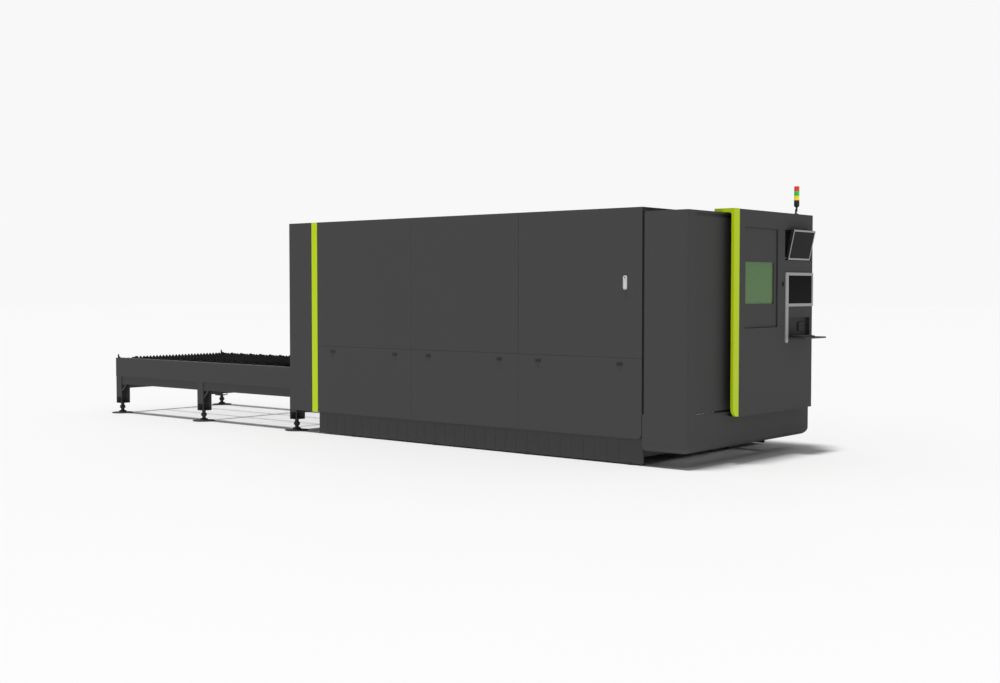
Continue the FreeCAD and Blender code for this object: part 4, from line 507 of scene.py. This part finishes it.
def build_materials(paint):
    """Every finish, from the paint settings and the fixed plastics and metals."""
    painted("cover_grey", paint.cover, roughness=0.68, dust=0.08, specular=0.10)
    painted("plinth_grey", paint.plinth, roughness=0.66, dust=0.10, specular=0.2)
    painted("lime_paint", paint.lime, roughness=0.40, dust=0.03, worn=(0.6, 0.78, 0.1),
            variation=0.03, specular=0.25)
    painted("machine_grey", paint.machine, roughness=0.55, dust=0.5, variation=0.12)
    painted("cabinet_paint", paint.cabinet, roughness=0.5, dust=0.3, variation=0.05)
    painted("pallet_black", (0.030, 0.030, 0.031), roughness=0.62, dust=0.22, variation=0.2,
            worn=(0.12, 0.11, 0.1))
    painted("foot_black", (0.020, 0.020, 0.021), roughness=0.55, dust=0.10, variation=0.1)
    painted("motor_black", (0.022, 0.022, 0.024), roughness=0.5, dust=0.3)
    moulded("white_plastic", paint.white, roughness=0.4)
    moulded("frame_grey", (0.42, 0.42, 0.42), roughness=0.42)
    bezelled_case("bezelled_black", (0.02, 0.02, 0.021), (0.36, 0.36, 0.36), MONITOR_LEAN)
    moulded("black_plastic", (0.015, 0.015, 0.016), roughness=0.5)
    moulded("key_plastic", (0.035, 0.036, 0.038), roughness=0.55, grain=1500.0)
    moulded("red_lens", (0.75, 0.03, 0.02), roughness=0.25, coat_weight=0.5,
            emission=LAMP_GLOW)
    moulded("yellow_lens", (0.95, 0.70, 0.01), roughness=0.25, coat_weight=0.5,
            emission=LAMP_GLOW)
    moulded("green_lens", (0.01, 0.55, 0.06), roughness=0.25, coat_weight=0.5,
            emission=LAMP_GLOW)
    metal("ground_steel", (0.55, 0.55, 0.56), roughness=0.28)
    metal("galvanised", (0.42, 0.43, 0.44), roughness=0.45, stretch=(14.0, 14.0, 14.0),
          stain=0.5)
    metal("anodised", (0.66, 0.67, 0.68), roughness=0.38, stretch=(300.0, 300.0, 3.0),
          stain=0.1)
    metal("turned_brass", (0.78, 0.55, 0.25), roughness=0.25, stretch=(60.0, 60.0, 900.0),
          stain=0.15)
    slat_metal("slat_scale")
    safety_glass("laser_glass")
    screen("screen_black", (0.005, 0.005, 0.0055))
    screen("screen_grey", (0.013, 0.013, 0.0135))


FINISHES = {
    "cover_grey": ("near_upper_panels", "far_panels", "roof_panels", "side_door",
                   "left_lower_door", "middle_lower_door", "right_lower_door", "rear_portal",
                   "front_end_shell", "front_skirt", "sliding_door", "module_shell",
                   "viewing_hatch", "table_frame"),
    "plinth_grey": ("base_plinths", "module_recesses", "keyboard_tray"),
    "lime_paint": ("portal_strips", "module_trim"),
    "machine_grey": ("bed_frame", "gantry_beam", "gantry_end_carriages"),
    "cabinet_paint": ("control_cabinet", "laser_source"),
    "pallet_black": ("inner_pallet_frame", "outer_pallet_frame", "sliding_door_tracks",
                     "enclosure_frame"),
    "foot_black": ("levelling_feet",),
    "motor_black": ("x_drive_motors",),
    "slat_scale": ("inner_pallet_slats", "outer_pallet_slats"),
    "white_plastic": ("side_door_escutcheon", "side_door_handle"),
    "bezelled_black": ("monitor",),
    "frame_grey": ("screen_frame",),
    "black_plastic": ("left_door_latches", "middle_door_latches", "right_door_latches",
                      "tower_mount", "tower_base", "hatch_lock", "pendant", "keyboard"),
    "red_lens": ("tower_red",),
    "yellow_lens": ("tower_yellow",),
    "green_lens": ("tower_green",),
    "screen_black": ("operator_screen",),
    "screen_grey": ("monitor_screen",),
    "laser_glass": ("laser_window",),
    "ground_steel": ("x_axis_rails", "y_axis_rails", "z_slide", "monitor_pivot_bar",
                     "keyboard_tray_pin"),
    "galvanised": ("scrap_trays", "fume_duct"),
    "anodised": ("cross_carriage", "cutting_head"),
    "turned_brass": ("nozzle",),
}


# ------------------------------------------------------------ mesh helpers

def finish_piece(name, mesh, material, body, smooth=None):
    """Turn a bmesh into an object at the origin that rides on a CAD body."""
    bmesh.ops.recalc_face_normals(mesh, faces=mesh.faces)
    data = bpy.data.meshes.new(name)
    mesh.to_mesh(data)
    mesh.free()
    piece = bpy.data.objects.new(name, data)
    bpy.context.scene.collection.objects.link(piece)
    data.materials.append(MATERIALS[material])
    if smooth:
        data.polygons.foreach_set("use_smooth", [True] * len(data.polygons))
        data.set_sharp_from_angle(angle=math.radians(smooth))
    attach(piece, body)
    return piece


def add_box(mesh, low, high, bevel=0.0, segments=2):
    """Box between two corners, with rounded edges."""
    low, high = Vector(low), Vector(high)
    made = bmesh.ops.create_cube(mesh, size=1.0)["verts"]
    bmesh.ops.scale(mesh, vec=high - low, verts=made)
    bmesh.ops.translate(mesh, vec=(low + high) / 2, verts=made)
    if bevel:
        edges = list({edge for vert in made for edge in vert.link_edges})
        bmesh.ops.bevel(mesh, geom=edges, offset=bevel, segments=segments, affect="EDGES",
                        profile=0.5, material=-1)


def add_disc(mesh, radius, depth, middle, axis="Z", segments=32, bevel=0.0):
    """Round button or plug of a given depth, centred on a point."""
    made = bmesh.ops.create_cone(mesh, cap_ends=True, segments=segments, radius1=radius,
                                 radius2=radius, depth=depth)["verts"]
    if bevel:
        rims = [edge for edge in {edge for vert in made for edge in vert.link_edges}
                if abs(edge.verts[0].co.z - edge.verts[1].co.z) < 1e-9]
        done = bmesh.ops.bevel(mesh, geom=rims, offset=bevel, segments=2, affect="EDGES",
                               profile=0.5, material=-1)
        made = list({vert for face in done["faces"] for vert in face.verts}
                    | {vert for vert in made if vert.is_valid})
    turn = {"Z": Matrix(), "X": Matrix.Rotation(math.pi / 2, 4, "Y"),
            "Y": Matrix.Rotation(-math.pi / 2, 4, "X")}
    bmesh.ops.transform(mesh, matrix=Matrix.Translation(middle) @ turn[axis], verts=made)


def add_turned(mesh, outline, middle, segments):
    """Solid of revolution about the vertical from (radius, height) points."""
    verts = [mesh.verts.new((radius, 0, height)) for radius, height in outline]
    edges = [mesh.edges.new(pair) for pair in zip(verts, verts[1:])]
    bmesh.ops.spin(mesh, geom=verts + edges, cent=(0, 0, 0), axis=(0, 0, 1), angle=2 * math.pi,
                   steps=segments, use_merge=True)
    bmesh.ops.remove_doubles(mesh, verts=mesh.verts, dist=1e-6)
    bmesh.ops.translate(mesh, vec=middle, verts=mesh.verts)


# ---------------------------------------------------------------- operators

class MACHINE_OT_paint(bpy.types.Operator):
    """Give every CAD part its finish"""

    bl_idname = "machine.paint"
    bl_label = "Paint the machine"

    def execute(self, context):
        build_materials(context.scene.machine_paint)
        left = set(NODES)
        for finish, names in FINISHES.items():
            for name in names:
                data = NODES[name].data
                data.materials.clear()
                data.materials.append(MATERIALS[finish])
                left.discard(name)
        if left:
            raise RuntimeError("parts with no finish: " + ", ".join(sorted(left)))
        return {"FINISHED"}


class MACHINE_OT_keyboard(bpy.types.Operator):
    """Build the keyboard with its rows of keys"""

    bl_idname = "machine.keyboard"
    bl_label = "Keyboard"

    def execute(self, context):
        sizes = context.scene.machine_details
        low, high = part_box("keyboard")
        case = bmesh.new()
        add_box(case, low, (high.x, high.y, high.z - KEY_STAND), bevel=KEYBOARD_ROUND, segments=3)
        piece = finish_piece("keyboard_case", case, "black_plastic", "tray",
                             smooth=35)
        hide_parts("keyboard")
        keys = bmesh.new()
        rows = int((high.x - low.x - KEYBOARD_BORDER) / sizes.key_pitch)
        count = int((high.y - low.y - KEYBOARD_BORDER) / sizes.key_pitch)
        start = Vector(((low.x + high.x - rows * sizes.key_pitch) / 2,
                        (low.y + high.y - count * sizes.key_pitch) / 2,
                        high.z - KEY_HEIGHT))
        for row in range(rows):
            column = 0
            while column < count:
                bar = row == rows - 1 and column == SPACE_BAR_COLUMN
                wide = SPACE_BAR_KEYS if bar else 1
                wide = min(wide, count - column)
                corner = start + Vector((row * sizes.key_pitch, column * sizes.key_pitch, 0))
                long = sizes.key_size + (wide - 1) * sizes.key_pitch
                top = corner + Vector((sizes.key_size, long, KEY_HEIGHT))
                add_box(keys, corner, top, bevel=KEY_ROUND, segments=1)
                column += wide
        finish_piece("keyboard_keys", keys, "key_plastic", "tray")
        return {"FINISHED"}


class MACHINE_OT_pendant(bpy.types.Operator):
    """Build the handheld pendant with its buttons"""

    bl_idname = "machine.pendant"
    bl_label = "Pendant"

    def execute(self, context):
        low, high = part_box("pendant")
        case = bmesh.new()
        add_box(case, low, high - Vector((BUTTON_STAND, 0, 0)), bevel=PENDANT_ROUND, segments=3)
        piece = finish_piece("pendant_body", case, "black_plastic", "machine_base",
                             smooth=35)
        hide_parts("pendant")
        buttons = bmesh.new()
        for row in range(BUTTON_ROWS):
            for column in range(BUTTON_COLUMNS):
                middle = (high.x - BUTTON_DEPTH / 2,
                          low.y + BUTTON_START[0] + column * BUTTON_PITCH[0],
                          low.z + BUTTON_START[1] + row * BUTTON_PITCH[1])
                add_disc(buttons, BUTTON_RADIUS, BUTTON_DEPTH, middle, axis="X", segments=20,
                         bevel=BUTTON_ROUND)
        finish_piece("pendant_buttons", buttons, "key_plastic", "machine_base",
                     smooth=35)
        return {"FINISHED"}


class MACHINE_OT_tower(bpy.types.Operator):
    """Build the ribbed lenses of the signal tower"""

    bl_idname = "machine.tower"
    bl_label = "Signal tower lenses"

    def execute(self, context):
        sizes = context.scene.machine_details
        for colour in ("yellow", "green", "red"):
            low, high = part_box(f"tower_{colour}")
            radius = (high.x - low.x) / 2
            tall = high.z - low.z
            domed = colour == "red"
            straight = tall - (LENS_DOME if domed else LENS_RIM)
            outline = [(0, 0), (radius, 0), (radius, LENS_BAND)]
            step = (straight - 2 * LENS_BAND) / sizes.lens_ribs
            sunk = radius - sizes.lens_rib
            for rib in range(sizes.lens_ribs):
                base = LENS_BAND + rib * step
                outline += [(reach, base + step * share)
                            for reach, share in zip((sunk, sunk, radius), RIB_SHAPE)]
            outline.append((radius, straight))
            if domed:
                outline += [(radius - DOME_SHOULDER[0], straight + DOME_SHOULDER[1]),
                            (radius - DOME_SHELF[0], tall - DOME_SHELF[1]),
                            (radius * DOME_FLAT, tall), (0, tall)]
            else:
                outline += [(radius, tall), (0, tall)]
            mesh = bmesh.new()
            middle = Vector(((low.x + high.x) / 2, (low.y + high.y) / 2, low.z))
            add_turned(mesh, outline, middle, segments=56)
            piece = finish_piece(f"{colour}_lens", mesh, f"{colour}_lens", "tower",
                                 smooth=50)
            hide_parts(f"tower_{colour}")
        return {"FINISHED"}


class MACHINE_OT_locks(bpy.types.Operator):
    """Build the keyhole of the side door lock and the thumb ridges of the latches"""

    bl_idname = "machine.locks"
    bl_label = "Locks and latches"

    def execute(self, context):
        low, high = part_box("side_door_escutcheon")
        key = bmesh.new()
        middle = Vector(((low.x + high.x) / 2, low.y + KEYHOLE_SINK, high.z - KEYHOLE_DROP))
        add_disc(key, KEYHOLE_RADIUS, KEYHOLE_DEPTH, middle, axis="Y", segments=28,
                 bevel=KEYHOLE_ROUND)
        finish_piece("lock_keyhole", key, "black_plastic", "side_door_leaf",
                     smooth=35)
        for label in ("left", "middle", "right"):
            low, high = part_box(f"{label}_door_latches")
            ridges = bmesh.new()
            for start in (low.x, high.x - LATCH_LENGTH):
                for index in range(LATCH_RIDGES):
                    x = start + RIDGE_START + index * RIDGE_PITCH
                    add_box(ridges, (x, low.y - RIDGE_STAND, low.z + RIDGE_INSET),
                            (x + RIDGE_WIDTH, low.y + RIDGE_SINK, high.z - RIDGE_INSET),
                            bevel=RIDGE_ROUND, segments=1)
            finish_piece(f"{label}_latch_ridges", ridges, "black_plastic", f"{label}_latches")
        return {"FINISHED"}


class MACHINE_OT_rail_bolts(bpy.types.Operator):
    """Build the rows of screw caps along the linear rails"""

    bl_idname = "machine.rail_bolts"
    bl_label = "Rail screws"

    def execute(self, context):
        low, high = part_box("x_axis_rails")
        mesh = bmesh.new()
        for y in (low.y + RAIL_HALF_WIDTH, high.y - RAIL_HALF_WIDTH):
            for index in range(RAIL_SCREWS):
                x = low.x + RAIL_SCREW_START + index * RAIL_SCREW_PITCH
                add_disc(mesh, RAIL_CAP_RADIUS, RAIL_CAP_DEPTH, (x, y, high.z + RAIL_CAP_LIFT),
                         segments=12)
        finish_piece("x_rail_screws", mesh, "black_plastic", "machine_base")
        return {"FINISHED"}


class MACHINE_OT_door_rollers(bpy.types.Operator):
    """Build the row of small steel rollers on the threshold of the sliding door"""

    bl_idname = "machine.door_rollers"
    bl_label = "Door rollers"

    def execute(self, context):
        sizes = context.scene.machine_details
        low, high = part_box("sliding_door")
        mesh = bmesh.new()
        for index in range(sizes.rollers):
            middle = (high.x - ROLLER_INSET, low.y + ROLLER_START + index * sizes.roller_pitch,
                      low.z - sizes.roller_radius - ROLLER_GAP)
            add_disc(mesh, sizes.roller_radius, ROLLER_LENGTH, middle, axis="X", segments=20,
                     bevel=ROLLER_ROUND)
        finish_piece("door_rollers", mesh, "ground_steel", "machine_base", smooth=35)
        return {"FINISHED"}


class MACHINE_OT_stage(bpy.types.Operator):
    """Set up the pale floor, the soft light and the camera"""

    bl_idname = "machine.stage"
    bl_label = "Stage"

    def execute(self, context):
        settings = context.scene.machine_stage
        scene = context.scene
        scene.view_settings.view_transform = "Standard"
        scene.view_settings.look = "None"
        tree, shader = start_material("studio_floor")
        place = add(tree, "ShaderNodeTexCoord").outputs["Object"]
        cloud = add(tree, "ShaderNodeTexNoise", Scale=0.6, Detail=3.0)
        tree.links.new(place, cloud.inputs["Vector"])
        tone = maths(tree, "ADD", maths(tree, "MULTIPLY", cloud.outputs["Fac"], 0.06), 0.62)
        tree.links.new(tone, shader.inputs["Roughness"])
        shader.inputs["Base Color"].default_value = (*settings.floor, 1)
        shader.inputs["Specular IOR Level"].default_value = 0.15
        mesh = bmesh.new()
        bmesh.ops.create_grid(mesh, x_segments=4, y_segments=4, size=FLOOR_HALF_SIDE)
        data = bpy.data.meshes.new("studio_floor")
        mesh.to_mesh(data)
        mesh.free()
        data.materials.append(MATERIALS["studio_floor"])
        floor = bpy.data.objects.new("studio_floor", data)
        scene.collection.objects.link(floor)
        world = bpy.data.worlds.new("studio_sky")
        world.use_nodes = True
        sky = world.node_tree
        sky.nodes["Background"].inputs["Strength"].default_value = settings.ambient
        seen = add(sky, "ShaderNodeBackground", Strength=settings.backdrop)
        both = sky.nodes.new("ShaderNodeMixShader")
        sky.links.new(add(sky, "ShaderNodeLightPath").outputs["Is Camera Ray"], both.inputs[0])
        for index, background in enumerate((sky.nodes["Background"], seen), 1):
            background.inputs["Color"].default_value = (1, 1, 1, 1)
            sky.links.new(background.outputs["Background"], both.inputs[index])
        sky.links.new(both.outputs["Shader"], sky.nodes["World Output"].inputs["Surface"])
        scene.world = world
        light = bpy.data.lights.new("key", "SUN")
        light.energy = settings.sun
        light.angle = settings.softness
        lamp = bpy.data.objects.new("key", light)
        lamp.rotation_euler = Vector(SUN_DIRECTION).to_track_quat("-Z", "Y").to_euler()
        scene.collection.objects.link(lamp)
        camera_data = bpy.data.cameras.new("camera")
        camera_data.lens = settings.lens
        camera_data.sensor_width = SENSOR_WIDTH
        camera_data.clip_end = CAMERA_REACH
        camera = bpy.data.objects.new("camera", camera_data)
        camera.location = CAMERA_PLACE
        camera.rotation_euler = (math.pi / 2 - settings.pitch, 0, settings.yaw)
        scene.collection.objects.link(camera)
        scene.camera = camera
        return {"FINISHED"}


class MACHINE_PT_panel(bpy.types.Panel):
    """Finishing steps of the machine"""

    bl_label = "Laser cutting machine"
    bl_idname = "MACHINE_PT_panel"
    bl_space_type = "VIEW_3D"
    bl_region_type = "UI"
    bl_category = "Machine"

    def draw(self, context):
        for operator in OPERATORS:
            self.layout.operator(operator.bl_idname)
        for group in ("machine_paint", "machine_details", "machine_stage"):
            settings = getattr(context.scene, group)
            for name in settings.__annotations__:
                self.layout.prop(settings, name)


OPERATORS = (MACHINE_OT_paint, MACHINE_OT_keyboard, MACHINE_OT_pendant, MACHINE_OT_tower,
             MACHINE_OT_locks, MACHINE_OT_rail_bolts, MACHINE_OT_door_rollers, MACHINE_OT_stage)
CLASSES = (PaintSettings, DetailSettings, StageSettings, *OPERATORS, MACHINE_PT_panel)


def register():
    for each in CLASSES:
        bpy.utils.register_class(each)
    bpy.types.Scene.machine_paint = bpy.props.PointerProperty(type=PaintSettings)
    bpy.types.Scene.machine_details = bpy.props.PointerProperty(type=DetailSettings)
    bpy.types.Scene.machine_stage = bpy.props.PointerProperty(type=StageSettings)


def unregister():
    for name in ("machine_paint", "machine_details", "machine_stage"):
        delattr(bpy.types.Scene, name)
    for each in reversed(CLASSES):
        bpy.utils.unregister_class(each)


def main():
    """Register the classes and run every step in order."""
    register()
    for operator in OPERATORS:
        family, action = operator.bl_idname.split(".")
        getattr(getattr(bpy.ops, family), action)()


if __name__ == "__main__":
    main()
